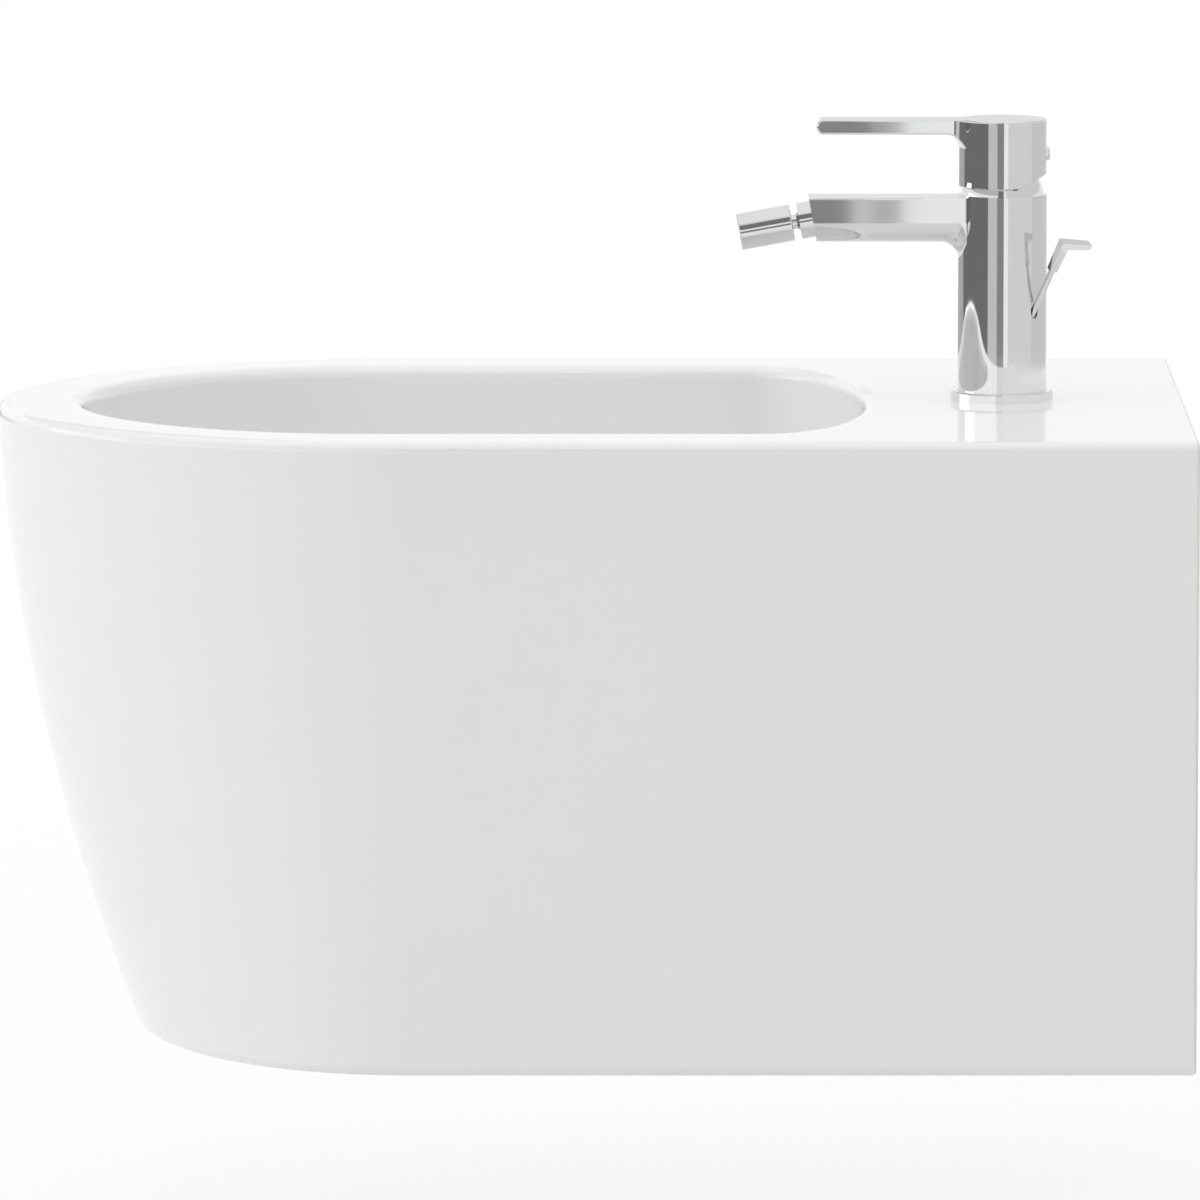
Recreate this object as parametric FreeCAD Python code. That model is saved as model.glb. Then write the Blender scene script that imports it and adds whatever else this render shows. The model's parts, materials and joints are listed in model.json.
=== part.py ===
import FreeCAD, Part
import math
import os
from FreeCAD import Vector

# Wall-hung bidet with a single-lever tap, a swivel nozzle and a pop-up waste.
# Millimetres. The wall is the plane y = 0, the bowl reaches towards -y and +z is up.
# The origin lies on the wall, midway between the two wall bolts.

# Ceramic body
BODY_WIDTH = 370.0
BODY_LENGTH = 570.0
BODY_HEIGHT = 300.0
RIM_ABOVE_BOLTS = 90.0
FLANK_LENGTH = 372.5        # straight side, from the wall to where the nose begins
NOSE_LEAN = 0.05            # backward slope of the nose at the rim
NOSE_RADIUS = 870.0         # profile radius of the nose below the rim
CERAMIC_WALL = 12.0
BACK_WALL = 16.0
DECK = 14.0
RIM_EDGE_R = 5.0
BASE_EDGE_R = 4.5
BACK_EDGE_R = 2.0
LIP_R = 5.5
PORTAL_WIDTH = 124.0        # pipe opening in the back wall
PORTAL_TOP = -32.0

# Basin
BASIN_WIDTH = 286.0
BASIN_FRONT_RIM = 41.0      # nose tip to the basin's front wall
BASIN_REAR = 153.5          # wall plane to the basin's rear wall
BASIN_FRONT_BOW = 136.5
BASIN_REAR_BOW = 52.5
BASIN_DEPTH = 125.0
BASIN_WALL = 11.0
BASIN_SQUARENESS = 3.0      # exponent of the basin's side profile
BASIN_SECTIONS = 14
DISH_R = 39.0               # flat around the drain
DRAIN_FROM_WALL = 250.0
DRAIN_HOLE_R = 22.5
DRAIN_BOSS_R = 37.0
DRAIN_BOSS = 38.0           # floor of the basin to the boss's underside
OVERFLOW_R = 7.0
OVERFLOW_BELOW_RIM = 45.0
OVERFLOW_BELOW_FLOOR = 24.0
OVERFLOW_WALL = 7.0

# Wall bolts
BOLT_SPACING = 180.0
BOLT_CLEAR_R = 6.5          # takes an M12 stud
SLEEVE_WALL = 3.4
SLEEVE_FLANGE_R = 16.0
SLEEVE_FLANGE = 3.0
BOLT_BOSS = 8.0
BOLT_BOSS_RIM = 8.0

# Tap body and base ring, heights counted from the deck
TAP_FROM_WALL = 87.0
TAP_R = 21.35
TAP_TOP = 98.9
TAP_HOLE_R = 17.5
RING_R = 24.75
RING_HEIGHT = 4.5
RING_FLOOR = 2.5
RING_EDGE_R = 0.9
SEAL_THICK = 1.5
SHANK_R = 17.2              # hollow of the tap's foot
SHANK_TOP = 46.0
CHAMBER_R = 16.5
CHAMBER_FLOOR = 60.0
INLET_R = 4.6
INLET_DEPTH = 11.0
INLET_SIDE = 11.5
INLET_OUT = 4.0
PORT_R = 2.5
PORT_SEAL = 1.2

# Spout and nozzle
SPOUT_WIDTH = 24.4
SPOUT_TOP = 97.9
SPOUT_SIDE = 12.0
SPOUT_BELLY = 10.0
SPOUT_REACH = 91.2
SPOUT_FACE_H = 87.0
SPOUT_EDGE_R = 0.8
SPOUT_ROOT_R = 8.5          # under the belly
SPOUT_SIDE_ROOT_R = 1.0
SPOUT_BORE_R = 5.0
SPOUT_BORE_H = 85.5
NOZZLE_DROP = 10.4          # downward tilt of the nozzle's axis, degrees
NOZZLE_R = 8.85
NOZZLE_LENGTH = 25.8
NOZZLE_WALL = 1.6
NOZZLE_GAP = 3.5
COLLAR_LENGTH = 6.5
COLLAR_STUB_R = 8.2
COLLAR_STUB = 9.0
BALL_R = 6.2
BALL_SETBACK = 4.0          # collar's front face to the ball's centre
LINER = 0.75
NECK_R = 3.5
NECK_BORE_R = 2.2
AERATOR_LENGTH = 8.0
AERATOR_RECESS = 1.2
AERATOR_HOLE_R = 0.55
AERATOR_RING_R = 2.2

# Lever, dome and cartridge
PIVOT_H = 95.6
TILT_RANGE = 24.0
DOME_R = 20.4
DOME_TOP = 110.5
DOME_SHELL = 2.0
DOME_HOLE_R = 10.5
DOME_FLOOR = 2.2
DOME_SKIRT = 5.4
DOME_SKIRT_WALL = 2.5
CAP_R = 21.05
CAP_BOTTOM = 103.1
CAP_TOP = 135.3
HANDLE_EDGE_R = 0.9         # edges of the cap and of the arm
CAP_RELIEF_Y = 7.5          # where the inclined cut at the back begins
CAP_RELIEF_ANGLE = 24.5
ARM_REACH = 89.4
ARM_WIDTH = 17.0
ARM_THICK = 7.1
ARM_TIP = 10.0
ARM_TIP_R = 3.2
ARM_ROOT_R = 7.5
ARM_ROOT_RUNOUT = 1.0       # the root stops this short of its radius, where it is thin as paper
STEM_R = 3.0
STEM_SQUARE = 7.0
STEM_REACH = 27.5
STEM_BALL_DROP = 18.5
PIN_R = 1.5
PIN_LENGTH = 17.0
SCREW_H = 118.3
GRUB_R = 2.0
GRUB_LENGTH = 8.0
COVER_R = 3.35
COVER_PROUD = 1.6
COVER_DEPTH = 4.0
TURRET_R = 9.0
TURRET_TOP = 99.0
TURRET_FLANGE_R = 11.5
TURRET_FLANGE = 1.0
HOUSING_R = 14.0
HOUSING_WALL = 1.4
HOUSING_ROOF = 2.0
HOUSING_FLANGE = 5.0
BASE_THICK = 5.0
FIXED_DISC = 3.5
MOVING_DISC = 3.0
CARRIER = 8.0
SLIDER_R = 8.4
NUT_THICK = 5.0
O_RING_R = 0.95

# Tap fixing under the deck
STUD_R = 3.0
STUD_OUT = 13.0
STUD_GRIP = 8.0
STUD_TAIL = 45.0
CLAMP_R = 26.5
CLAMP_GASKET = 3.0
CLAMP_PLATE = 3.0
FIXING_NUT_FLATS = 10.0
FIXING_NUT = 6.0

# Pull rod of the waste
ROD_AZIMUTH = 45.0          # from +x towards the wall
ROD_LEAN = 30.0             # from upright
ROD_ENTRY_H = 44.8
ROD_R = 1.5
ROD_HOLE_R = 2.4
ROD_BUSH = 4.0
ROD_EXPOSED = 22.8
GRIP_WIDTH = 4.9
GRIP_DEPTH = 4.0
GRIP_LENGTH = 17.1
GRIP_TAPER = 0.45
GRIP_EDGE_R = 0.4
TAB_LENGTH = 17.5
TAB_TURN = 75.0             # about the rod, from its plane
TAB_ROOT = 4.1
TAB_TIP = 3.1
TAB_TIP_R = 1.2
PULL_TRAVEL = 25.0
ROD_END_R = 2.2
ROD_END = 7.0
YOKE_BELOW_DECK = 1.7
YOKE_PIN_R = 1.2
YOKE_PIN_END = 0.5
YOKE_SIDE = 4.6
YOKE_THICK = 2.0
YOKE_HEIGHT = 8.0
LIFT_ROD_R = 2.0

# Waste and plug
FLANGE_R = 33.5
FLANGE_THICK = 3.0
FLANGE_SEAL = 1.2
FLANGE_RECESS = 3.0
TUBE_R = 20.8
TUBE_BORE_R = 17.5
TUBE_LENGTH = 64.0
WINDOW_WIDTH = 11.0
WINDOW_HEIGHT = 13.0
LOWER_SEAL = 4.0
WASHER_THICK = 2.0
WASTE_NUT = 8.0
WASTE_NUT_FLATS = 54.0
WASHER_R = 31.0
WASTE_R = 24.0
WASTE_SCREW = 11.0
WASTE_LENGTH = 46.0
WASTE_FOOT = 14.0
PORT_BELOW_SCREW = 11.0
PORT_TUBE_R = 10.5
PIVOT_OUT = 28.0            # waste axis to the pivot ball
PIVOT_BALL_R = 6.5
PIVOT_SEAT = 4.0
PIVOT_SPLIT = 1.5           # half the gap between the two ball seats
PIVOT_ROOM = 1.5            # room for the rocking rod
PORT_TUBE_WALL = 2.5
BALL_NUT_FLATS = 26.0
BALL_NUT = 12.0
BALL_NUT_FACE = 3.0
BALL_NUT_HOLE_R = 4.4
BALL_ROD_R = 2.5
BALL_ROD_TAIL = 12.0
TAIL_R = 16.0
TAIL_WALL = 1.5
TAIL_STEP = 0.5
TAIL_LENGTH = 45.0
TAIL_SEAL = 4.0
TAIL_THREAD = 9.0
TAIL_LIP = 3.0
TAIL_NUT_R = 27.0
TAIL_NUT_GROOVES = 10
TAIL_GROOVE_R = 2.0
PLUG_R = 26.0
PLUG_CROWN = 3.0
PLUG_RIM = 1.4
PLUG_GAP = 0.6
PLUG_CORE_R = 4.5
PLUG_FIN = 2.0
PLUG_SEAL_R = 1.8
SEAT_DEPTH = 5.0
EYE_R = 3.2
EYE_WALL = 2.8
STRAP_WIDTH = 10.0
STRAP_THICK = 2.0
STRAP_HOLES = 4
STRAP_PITCH = 11.0
CLEVIS_HEIGHT = 13.0
CLEVIS_DEPTH = 9.0
CLEVIS_SCREW_R = 2.0
CLIP_THICK = 0.8
CLIP_GAP = 4.0
CLIP_DROP = 3.0

# Nuts and clearances
NUT_FACE = 0.97             # round face of a nut, as a share of its flats
SEAT = 0.1                  # fixed round fits
RUN = 0.06                  # turning and sliding fits
FREE = 0.3                  # moving pieces that pass each other
OVERRUN = 20.0              # how far cutting shapes stand past what they cut

UP = Vector(0, 0, 1)
DOWN = Vector(0, 0, -1)
SIDE = Vector(1, 0, 0)
BACK = Vector(0, 1, 0)

rim = RIM_ABOVE_BOLTS
base = rim - BODY_HEIGHT
half_width = BODY_WIDTH / 2
floor_z = rim - BASIN_DEPTH
channel_y = -(BASIN_REAR - BASIN_WALL - OVERFLOW_R)
boss_z = floor_z - DRAIN_BOSS
tap_y = -TAP_FROM_WALL
drain = Vector(0, -DRAIN_FROM_WALL, 0)
nodes = {}


# Small building blocks
def cylinder(radius, start, direction, length):
    return Part.makeCylinder(radius, length, start, direction)


def tube(outer, inner, start, direction, length):
    return cylinder(outer, start, direction, length).cut(cylinder(inner, start, direction, length))


def between(radius, start, end):
    return cylinder(radius, start, end - start, (end - start).Length)


def block(low, high):
    size = high - low
    return Part.makeBox(size.x, size.y, size.z, low)


def sphere(radius, centre):
    return Part.makeSphere(radius, centre)


def hexagon(flats, start, length, direction=UP):
    corner = flats / math.sqrt(3)
    turn = FreeCAD.Rotation(UP, direction)
    ring = [start + turn.multVec(Vector(corner * math.cos(math.radians(60 * k)),
                                        corner * math.sin(math.radians(60 * k)), 0)) for k in range(7)]
    return Part.Face(Part.makePolygon(ring)).extrude(direction * length)


# A nut's corners are turned down to a cone at both ends
def hex_nut(flats, start, length, direction):
    corner = flats / math.sqrt(3)
    face = flats / 2 * NUT_FACE
    rise = (corner - face) * math.tan(math.radians(30))
    end = start + direction * length
    barrel = joined([Part.makeCone(face, corner, rise, start, direction),
                     between(corner, start + direction * rise, end - direction * rise),
                     Part.makeCone(corner, face, rise, end - direction * rise, direction)])
    return hexagon(flats, start, length, direction).common(barrel)


def joined(shapes):
    return shapes[0].fuse(shapes[1:]).removeSplitter()


def edges_where(shape, test):
    return [edge for edge in shape.Edges if test(edge.BoundBox)]


def rounded(shape, radius, test):
    return shape.makeFillet(radius, edges_where(shape, test))


def near(value, target):
    return abs(value - target) < 0.02


def at_tap(x, y, height):
    return Vector(x, tap_y + y, rim + height)


def save(name, shape):
    nodes[name] = shape


# Ceramic body: a D-shaped shell, flat against the wall, with a nose that leans back towards its foot
def nose_tip(depth):
    return BODY_LENGTH - NOSE_LEAN * depth - depth ** 2 / (2 * NOSE_RADIUS)


def bow(half, reach, y, z, start_angle):
    stretch = FreeCAD.Matrix()
    stretch.scale(half, reach, 1)
    stretch.move(0, y, z)
    arc = Part.makeCircle(1, Vector(0, 0, 0), UP, start_angle, start_angle + 90)
    return arc.transformGeometry(stretch)


def straight(*points):
    return [Part.makeLine(start, end) for start, end in zip(points, points[1:])]


def outline(edges):
    return Part.Wire(Part.__sortEdges__(edges))


def flank_outline(depth, inset, back):
    half = half_width - inset
    z = rim - depth
    reach = nose_tip(depth) - inset - FLANK_LENGTH
    sides = straight(Vector(half, -FLANK_LENGTH, z), Vector(half, back, z),
                     Vector(-half, back, z), Vector(-half, -FLANK_LENGTH, z))
    nose = [bow(half, reach, -FLANK_LENGTH, z, 180), bow(half, reach, -FLANK_LENGTH, z, 270)]
    return outline(nose + sides)


def flank_loft(top_depth, bottom_depth, inset, back):
    steps = 5
    depths = [top_depth + (bottom_depth - top_depth) * k / steps for k in range(steps + 1)]
    return Part.makeLoft([flank_outline(depth, inset, back) for depth in depths], True, False)


def basin_outline(share, z, grow):
    front_flat = -(BODY_LENGTH - BASIN_FRONT_RIM - BASIN_FRONT_BOW)
    rear_flat = -(BASIN_REAR + BASIN_REAR_BOW)

    def blend(small, large):
        return small + (large - small) * share

    half = blend(DISH_R, BASIN_WIDTH / 2) + grow
    front_reach = blend(DISH_R, BASIN_FRONT_BOW) + grow
    rear_reach = blend(DISH_R, BASIN_REAR_BOW) + grow
    front = blend(drain.y - 1, front_flat)
    rear = blend(drain.y + 1, rear_flat)
    ends = [bow(half, front_reach, front, z, 180), bow(half, front_reach, front, z, 270),
            bow(half, rear_reach, rear, z, 0), bow(half, rear_reach, rear, z, 90)]
    sides = straight(Vector(half, front, z), Vector(half, rear, z))
    sides += straight(Vector(-half, rear, z), Vector(-half, front, z))
    return outline(ends + sides)


def basin_profile(depth):
    # Shares of the rim outline and depths along the basin's side, evenly spaced on the curve
    fine = 400
    curve = []
    for k in range(fine + 1):
        angle = math.pi / 2 * k / fine
        share = max(math.cos(angle), 0) ** (2 / BASIN_SQUARENESS)
        curve.append((share, math.sin(angle) ** (2 / BASIN_SQUARENESS)))
    run = [0]
    for (share, drop), (next_share, next_drop) in zip(curve, curve[1:]):
        run.append(run[-1] + math.hypot(next_share - share, next_drop - drop))
    stations = []
    for k in range(BASIN_SECTIONS + 1):
        wanted = run[-1] * k / BASIN_SECTIONS
        nearest = min(range(fine + 1), key=lambda i: abs(run[i] - wanted))
        stations.append((curve[nearest][0], depth * curve[nearest][1]))
    return stations


def basin_loft(grow):
    wires = [basin_outline(1, rim + OVERRUN, grow)]
    for share, depth in basin_profile(BASIN_DEPTH + grow):
        wires.append(basin_outline(share, rim - depth, grow))
    return Part.makeLoft(wires, True, False, False, 3)


# The outside of the china with its basin, still solid below the basin
def china_blank():
    shell = flank_loft(0, BODY_HEIGHT, 0, OVERRUN)
    shell = rounded(shell, RIM_EDGE_R, lambda b: near(b.ZMin, rim) and b.YMin < OVERRUN - 1)
    shell = rounded(shell, BASE_EDGE_R, lambda b: near(b.ZMax, base) and b.YMin < OVERRUN - 1)
    behind_wall = block(Vector(-half_width - 1, 0, base - 1), Vector(half_width + 1, OVERRUN + 1, rim + 1))
    shell = shell.cut(behind_wall)
    shell = rounded(shell, BACK_EDGE_R, lambda b: near(b.YMin, 0) and near(b.YMax, 0))

    shell = shell.cut(basin_loft(0))
    inside = BASIN_WIDTH / 2 + 1
    shell = rounded(shell, LIP_R, lambda b: near(b.ZMin, rim) and near(b.ZMax, rim) and
                    b.XMax < inside and b.XMin > -inside and b.YMin > -nose_tip(0) + RIM_EDGE_R + 1)
    return shell


# The bowl before the basin is taken out: the basin's wall, the drain boss and the overflow's ribs
def bowl_forms():
    rib = OVERFLOW_R + OVERFLOW_WALL
    return [
        basin_loft(BASIN_WALL),
        cylinder(DRAIN_BOSS_R, Vector(0, drain.y, boss_z), UP, DRAIN_BOSS),
        block(Vector(-rib, drain.y, boss_z), Vector(rib, channel_y + rib, floor_z)),
        block(Vector(-rib, drain.y / 2 - BASIN_REAR / 2, boss_z), Vector(rib, channel_y + rib, rim)),
    ]


def china_holes():
    channel_z = floor_z - OVERFLOW_BELOW_FLOOR
    inlet_z = rim - OVERFLOW_BELOW_RIM
    holes = [
        cylinder(TAP_HOLE_R, Vector(0, tap_y, rim + 1), DOWN, DECK + 2),
        cylinder(DRAIN_HOLE_R, Vector(0, drain.y, floor_z + 1), DOWN, DRAIN_BOSS + 2),
        cylinder(FLANGE_R + 1, Vector(0, drain.y, floor_z + OVERRUN), DOWN, OVERRUN + FLANGE_RECESS),
        between(OVERFLOW_R, Vector(0, -BASIN_REAR - OVERRUN, inlet_z), Vector(0, channel_y, inlet_z)),
        cylinder(OVERFLOW_R, Vector(0, channel_y, channel_z), UP, inlet_z - channel_z),
        cylinder(OVERFLOW_R, Vector(0, drain.y, channel_z), BACK, channel_y - drain.y),
        sphere(OVERFLOW_R, Vector(0, channel_y, inlet_z)),
        sphere(OVERFLOW_R, Vector(0, channel_y, channel_z)),
    ]
    for side in (-1, 1):
        wall_end = Vector(side * BOLT_SPACING / 2, 1, 0)
        holes.append(cylinder(BOLT_CLEAR_R + SLEEVE_WALL + SEAT, wall_end, -BACK, BACK_WALL + BOLT_BOSS + 2))
    return holes


# The china is cast as rim with deck, bowl and skirt, which are joined under the deck before firing.
# Where a wide basin comes near the flank, the skirt ends at the bowl's wall.
def castings():
    blank = china_blank()
    holes = china_holes()
    above = block(Vector(-half_width - 1, -BODY_LENGTH - 1, rim - DECK),
                  Vector(half_width + 1, OVERRUN + 1, rim + 2 * OVERRUN))
    bosses = []
    for side in (-1, 1):
        seat = Vector(side * BOLT_SPACING / 2, -BACK_WALL, 0)
        bosses.append(cylinder(SLEEVE_FLANGE_R + BOLT_BOSS_RIM, seat, -BACK, BOLT_BOSS))
    hollow = flank_loft(DECK, BODY_HEIGHT + OVERRUN, CERAMIC_WALL, -BACK_WALL).cut(bosses)
    portal = block(Vector(-PORTAL_WIDTH / 2, -BACK_WALL - 1, base - 1),
                   Vector(PORTAL_WIDTH / 2, 1, PORTAL_TOP))
    deck = blank.common(above).cut(holes)
    around_bowl = block(Vector(-half_width - OVERRUN, -BODY_LENGTH - OVERRUN, base - OVERRUN),
                        Vector(half_width + OVERRUN, OVERRUN, rim - DECK)).cut(bowl_forms())
    bowl = blank.cut(around_bowl).cut(holes).cut(above)
    skirt = blank.cut([above, hollow, portal] + bowl_forms() + holes)
    return deck, bowl, skirt


def wall_sleeves():
    sleeves = []
    length = BACK_WALL + BOLT_BOSS
    for side in (-1, 1):
        wall_end = Vector(side * BOLT_SPACING / 2, 0, 0)
        barrel = cylinder(BOLT_CLEAR_R + SLEEVE_WALL, wall_end, -BACK, length)
        flange = cylinder(SLEEVE_FLANGE_R, wall_end - BACK * length, -BACK, SLEEVE_FLANGE)
        bore = cylinder(BOLT_CLEAR_R, wall_end + BACK, -BACK, length + SLEEVE_FLANGE + 2)
        sleeves.append(joined([barrel, flange]).cut(bore))
    return Part.makeCompound(sleeves)


# The pull rod's plane: x runs radially outwards over the rod, y to its side, heights from the deck
def in_rod_plane(shape):
    turned = shape.copy()
    turned.rotate(Vector(0, 0, 0), UP, ROD_AZIMUTH)
    turned.translate(at_tap(0, 0, 0))
    return turned


lean = math.radians(ROD_LEAN)
rod_axis = Vector(math.sin(lean), 0, math.cos(lean))
rod_entry = Vector(TAP_R, 0, ROD_ENTRY_H)
rod_low = rod_entry - rod_axis * ((ROD_ENTRY_H + YOKE_BELOW_DECK) / math.cos(lean))
inlets = [Vector(INLET_OUT, side * INLET_SIDE, SHANK_TOP) for side in (-1, 1)]
ports = [Vector(INLET_OUT / 2, side * INLET_SIDE / 2, CHAMBER_FLOOR + BASE_THICK) for side in (-1, 1)]
outlet = Vector(-INLET_SIDE / 2, 0, CHAMBER_FLOOR + BASE_THICK)

# The nozzle's axis leaves the spout's end face and tilts down
drop = math.radians(NOZZLE_DROP)
spray = Vector(0, -math.cos(drop), -math.sin(drop))
spout_face = at_tap(0, -SPOUT_REACH, SPOUT_FACE_H)
collar_face = spout_face + spray * COLLAR_LENGTH
ball = collar_face - spray * BALL_SETBACK
nozzle_rear = collar_face + spray * NOZZLE_GAP
collar_seal_thick = 2.0


# Tap body
def spout_prism(top, reach):
    half = SPOUT_WIDTH / 2
    low = SPOUT_TOP - SPOUT_SIDE
    right = at_tap(half, 0, low)
    left = at_tap(-half, 0, low)
    edges = straight(right, at_tap(half, 0, top), at_tap(-half, 0, top), left)
    edges.append(Part.Arc(left, at_tap(0, 0, low - SPOUT_BELLY), right).toShape())
    return Part.Face(outline(edges)).extrude(-BACK * reach)


def spout_blank():
    blank = spout_prism(SPOUT_TOP, SPOUT_REACH + OVERRUN)
    blank = rounded(blank, SPOUT_EDGE_R, lambda b: near(b.ZMin, rim + SPOUT_TOP) and b.YLength > 1)
    return blank.cut(cylinder(2 * SPOUT_WIDTH, spout_face, spray, 2 * OVERRUN))


# The spout's root: a wide radius under the belly and a narrow one up each side
def spout_root():
    tall = TAP_TOP + OVERRUN
    half = SPOUT_WIDTH / 2
    reach = TAP_R + 2 * SPOUT_ROOT_R
    side_low = SPOUT_TOP - SPOUT_SIDE
    column = cylinder(TAP_R, at_tap(0, 0, RING_FLOOR), UP, tall - RING_FLOOR)
    corner_y = tap_y - math.sqrt(TAP_R ** 2 - half ** 2)

    below = column.fuse(spout_prism(tall, SPOUT_REACH))
    below = rounded(below, SPOUT_ROOT_R, lambda b: b.YMax < corner_y + 0.1 and b.YMin > tap_y - TAP_R - 0.1
                    and b.ZLength > 1 and b.XLength > 1)
    below = below.common(block(at_tap(-TAP_R, -reach, SHANK_TOP), at_tap(TAP_R, 0, SPOUT_TOP - SPOUT_EDGE_R)))

    beside = column.fuse(block(at_tap(-half, -reach, RING_FLOOR), at_tap(half, 0, tall)))
    beside = rounded(beside, SPOUT_SIDE_ROOT_R, lambda b: near(b.YMin, corner_y) and near(b.YMax, corner_y)
                     and b.XLength < 0.01)
    beside = beside.common(block(at_tap(-TAP_R, -reach, side_low), at_tap(TAP_R, 0, SPOUT_TOP)))
    return below.fuse(beside)


def tap_body():
    column = cylinder(TAP_R, at_tap(0, 0, RING_FLOOR), UP, TAP_TOP - RING_FLOOR)
    body = joined([column, spout_blank(), spout_root()])
    waterway = SPOUT_REACH - COLLAR_STUB - collar_seal_thick + 4
    cuts = [
        cylinder(SHANK_R, at_tap(0, 0, RING_FLOOR), UP, SHANK_TOP - RING_FLOOR),
        cylinder(CHAMBER_R, at_tap(0, 0, CHAMBER_FLOOR), UP, TAP_TOP),
        cylinder(SPOUT_BORE_R, at_tap(0, 0, SPOUT_BORE_H), -BACK, waterway),
        cylinder(COLLAR_STUB_R + SEAT, spout_face + spray, -spray, COLLAR_STUB + collar_seal_thick + 1),
        in_rod_plane(cylinder(ROD_HOLE_R, rod_entry + rod_axis * OVERRUN, -rod_axis, 2 * OVERRUN)),
        in_rod_plane(cylinder(STUD_R, Vector(-STUD_OUT, 0, SHANK_TOP - 1), UP, STUD_GRIP + 1)),
    ]
    for inlet in inlets:
        cuts.append(in_rod_plane(cylinder(INLET_R, inlet - UP, UP, INLET_DEPTH + 1)))
        cuts.append(in_rod_plane(cylinder(PORT_R, inlet, UP, CHAMBER_FLOOR - SHANK_TOP + 1)))
    return body.cut(cuts)


def base_ring():
    ring = cylinder(RING_R, at_tap(0, 0, 0), UP, RING_HEIGHT)
    ring = rounded(ring, RING_EDGE_R, lambda b: near(b.ZMin, rim + RING_HEIGHT))
    seal_groove = tube(TAP_R + 1, TAP_HOLE_R + 1, at_tap(0, 0, 0), UP, SEAL_THICK)
    return ring.cut([cylinder(TAP_R + SEAT, at_tap(0, 0, RING_FLOOR), UP, RING_HEIGHT),
                     cylinder(TAP_HOLE_R, at_tap(0, 0, -1), UP, RING_HEIGHT), seal_groove])


def base_seal():
    return tube(TAP_R + 1, TAP_HOLE_R + 1, at_tap(0, 0, 0), UP, SEAL_THICK)


# Tap fixing: a stud, a horseshoe clamp and a nut under the deck
def horseshoe(top, thick):
    plate = cylinder(CLAMP_R, Vector(0, 0, top - thick), UP, thick)
    mouth = TAP_HOLE_R - 0.5
    gap = block(Vector(STUD_R + 2 - STUD_OUT, -mouth, top - thick - 1), Vector(CLAMP_R + 1, mouth, top + 1))
    hole = cylinder(STUD_R + FREE, Vector(-STUD_OUT, 0, top - thick - 1), UP, thick + 2)
    return in_rod_plane(plate.cut([gap, hole]))


def fixing_stud():
    top = SHANK_TOP + STUD_GRIP
    return in_rod_plane(cylinder(STUD_R, Vector(-STUD_OUT, 0, top), DOWN, top + STUD_TAIL))


def fixing_nut():
    start = Vector(-STUD_OUT, 0, -DECK - CLAMP_GASKET - CLAMP_PLATE)
    nut = hex_nut(FIXING_NUT_FLATS, start, FIXING_NUT, DOWN)
    return in_rod_plane(nut.cut(cylinder(STUD_R, start, DOWN, FIXING_NUT)))


# Cartridge
disc_h = CHAMBER_FLOOR + BASE_THICK
slide_h = disc_h + FIXED_DISC
carrier_h = slide_h + MOVING_DISC
flange_h = carrier_h + CARRIER + FREE
roof_h = flange_h + TURRET_FLANGE + 0.2
collar_h = roof_h + HOUSING_ROOF
nut_h = collar_h + HOUSING_FLANGE
stem_lean = math.radians(TILT_RANGE / 2)
stem_axis = Vector(0, -math.sin(stem_lean), math.cos(stem_lean))
pivot = at_tap(0, 0, PIVOT_H)
stem_ball = pivot - stem_axis * STEM_BALL_DROP
slide_y = stem_ball.y - tap_y


def cartridge_base():
    body = cylinder(CHAMBER_R - SEAT, at_tap(0, 0, CHAMBER_FLOOR), UP, BASE_THICK)
    outlet_end = Vector(-CHAMBER_R - 1, 0, CHAMBER_FLOOR + 2)
    cuts = [in_rod_plane(between(PORT_R, outlet + Vector(0, 0, 1), outlet_end))]
    for inlet, port in zip(inlets, ports):
        mouth = Vector(inlet.x, inlet.y, CHAMBER_FLOOR)
        cuts.append(in_rod_plane(between(PORT_R, mouth - UP * 0.5, port + UP * 0.5)))
        cuts.append(in_rod_plane(cylinder(PORT_R + PORT_SEAL + SEAT, mouth, UP, PORT_SEAL)))
    return body.cut(cuts)


def cartridge_seals():
    seals = []
    for inlet in inlets:
        seat = Vector(inlet.x, inlet.y, CHAMBER_FLOOR)
        seals.append(in_rod_plane(tube(PORT_R + PORT_SEAL, PORT_R, seat, UP, PORT_SEAL)))
    return Part.makeCompound(seals)


def fixed_disc():
    disc = cylinder(HOUSING_R - HOUSING_WALL - SEAT, at_tap(0, 0, disc_h), UP, FIXED_DISC)
    openings = [in_rod_plane(cylinder(PORT_R, port - UP, UP, FIXED_DISC + 2)) for port in ports + [outlet]]
    return disc.cut(openings)


def moving_disc():
    disc = cylinder(SLIDER_R, at_tap(0, slide_y, slide_h), UP, MOVING_DISC)
    return disc.cut(cylinder(SLIDER_R - 3, at_tap(0, slide_y, slide_h), UP, MOVING_DISC / 2))


def disc_carrier():
    carrier = cylinder(SLIDER_R, at_tap(0, slide_y, carrier_h), UP, CARRIER)
    return carrier.cut(cylinder(STEM_R + 2 * FREE, at_tap(0, slide_y, carrier_h + 2), UP, CARRIER))


def cartridge_housing():
    sleeve = cylinder(HOUSING_R, at_tap(0, 0, disc_h), UP, collar_h - disc_h)
    collar = cylinder(CHAMBER_R - SEAT, at_tap(0, 0, collar_h), UP, HOUSING_FLANGE)
    groove_foot = at_tap(0, 0, collar_h + HOUSING_FLANGE / 2 - O_RING_R)
    groove = tube(CHAMBER_R, CHAMBER_R - 2 * O_RING_R - SEAT, groove_foot, UP, 2 * O_RING_R)
    bore = cylinder(HOUSING_R - HOUSING_WALL, at_tap(0, 0, disc_h), UP, roof_h - disc_h)
    neck = cylinder(TURRET_R + FREE, at_tap(0, 0, roof_h), UP, OVERRUN)
    return joined([sleeve, collar]).cut([groove, bore, neck])


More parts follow.
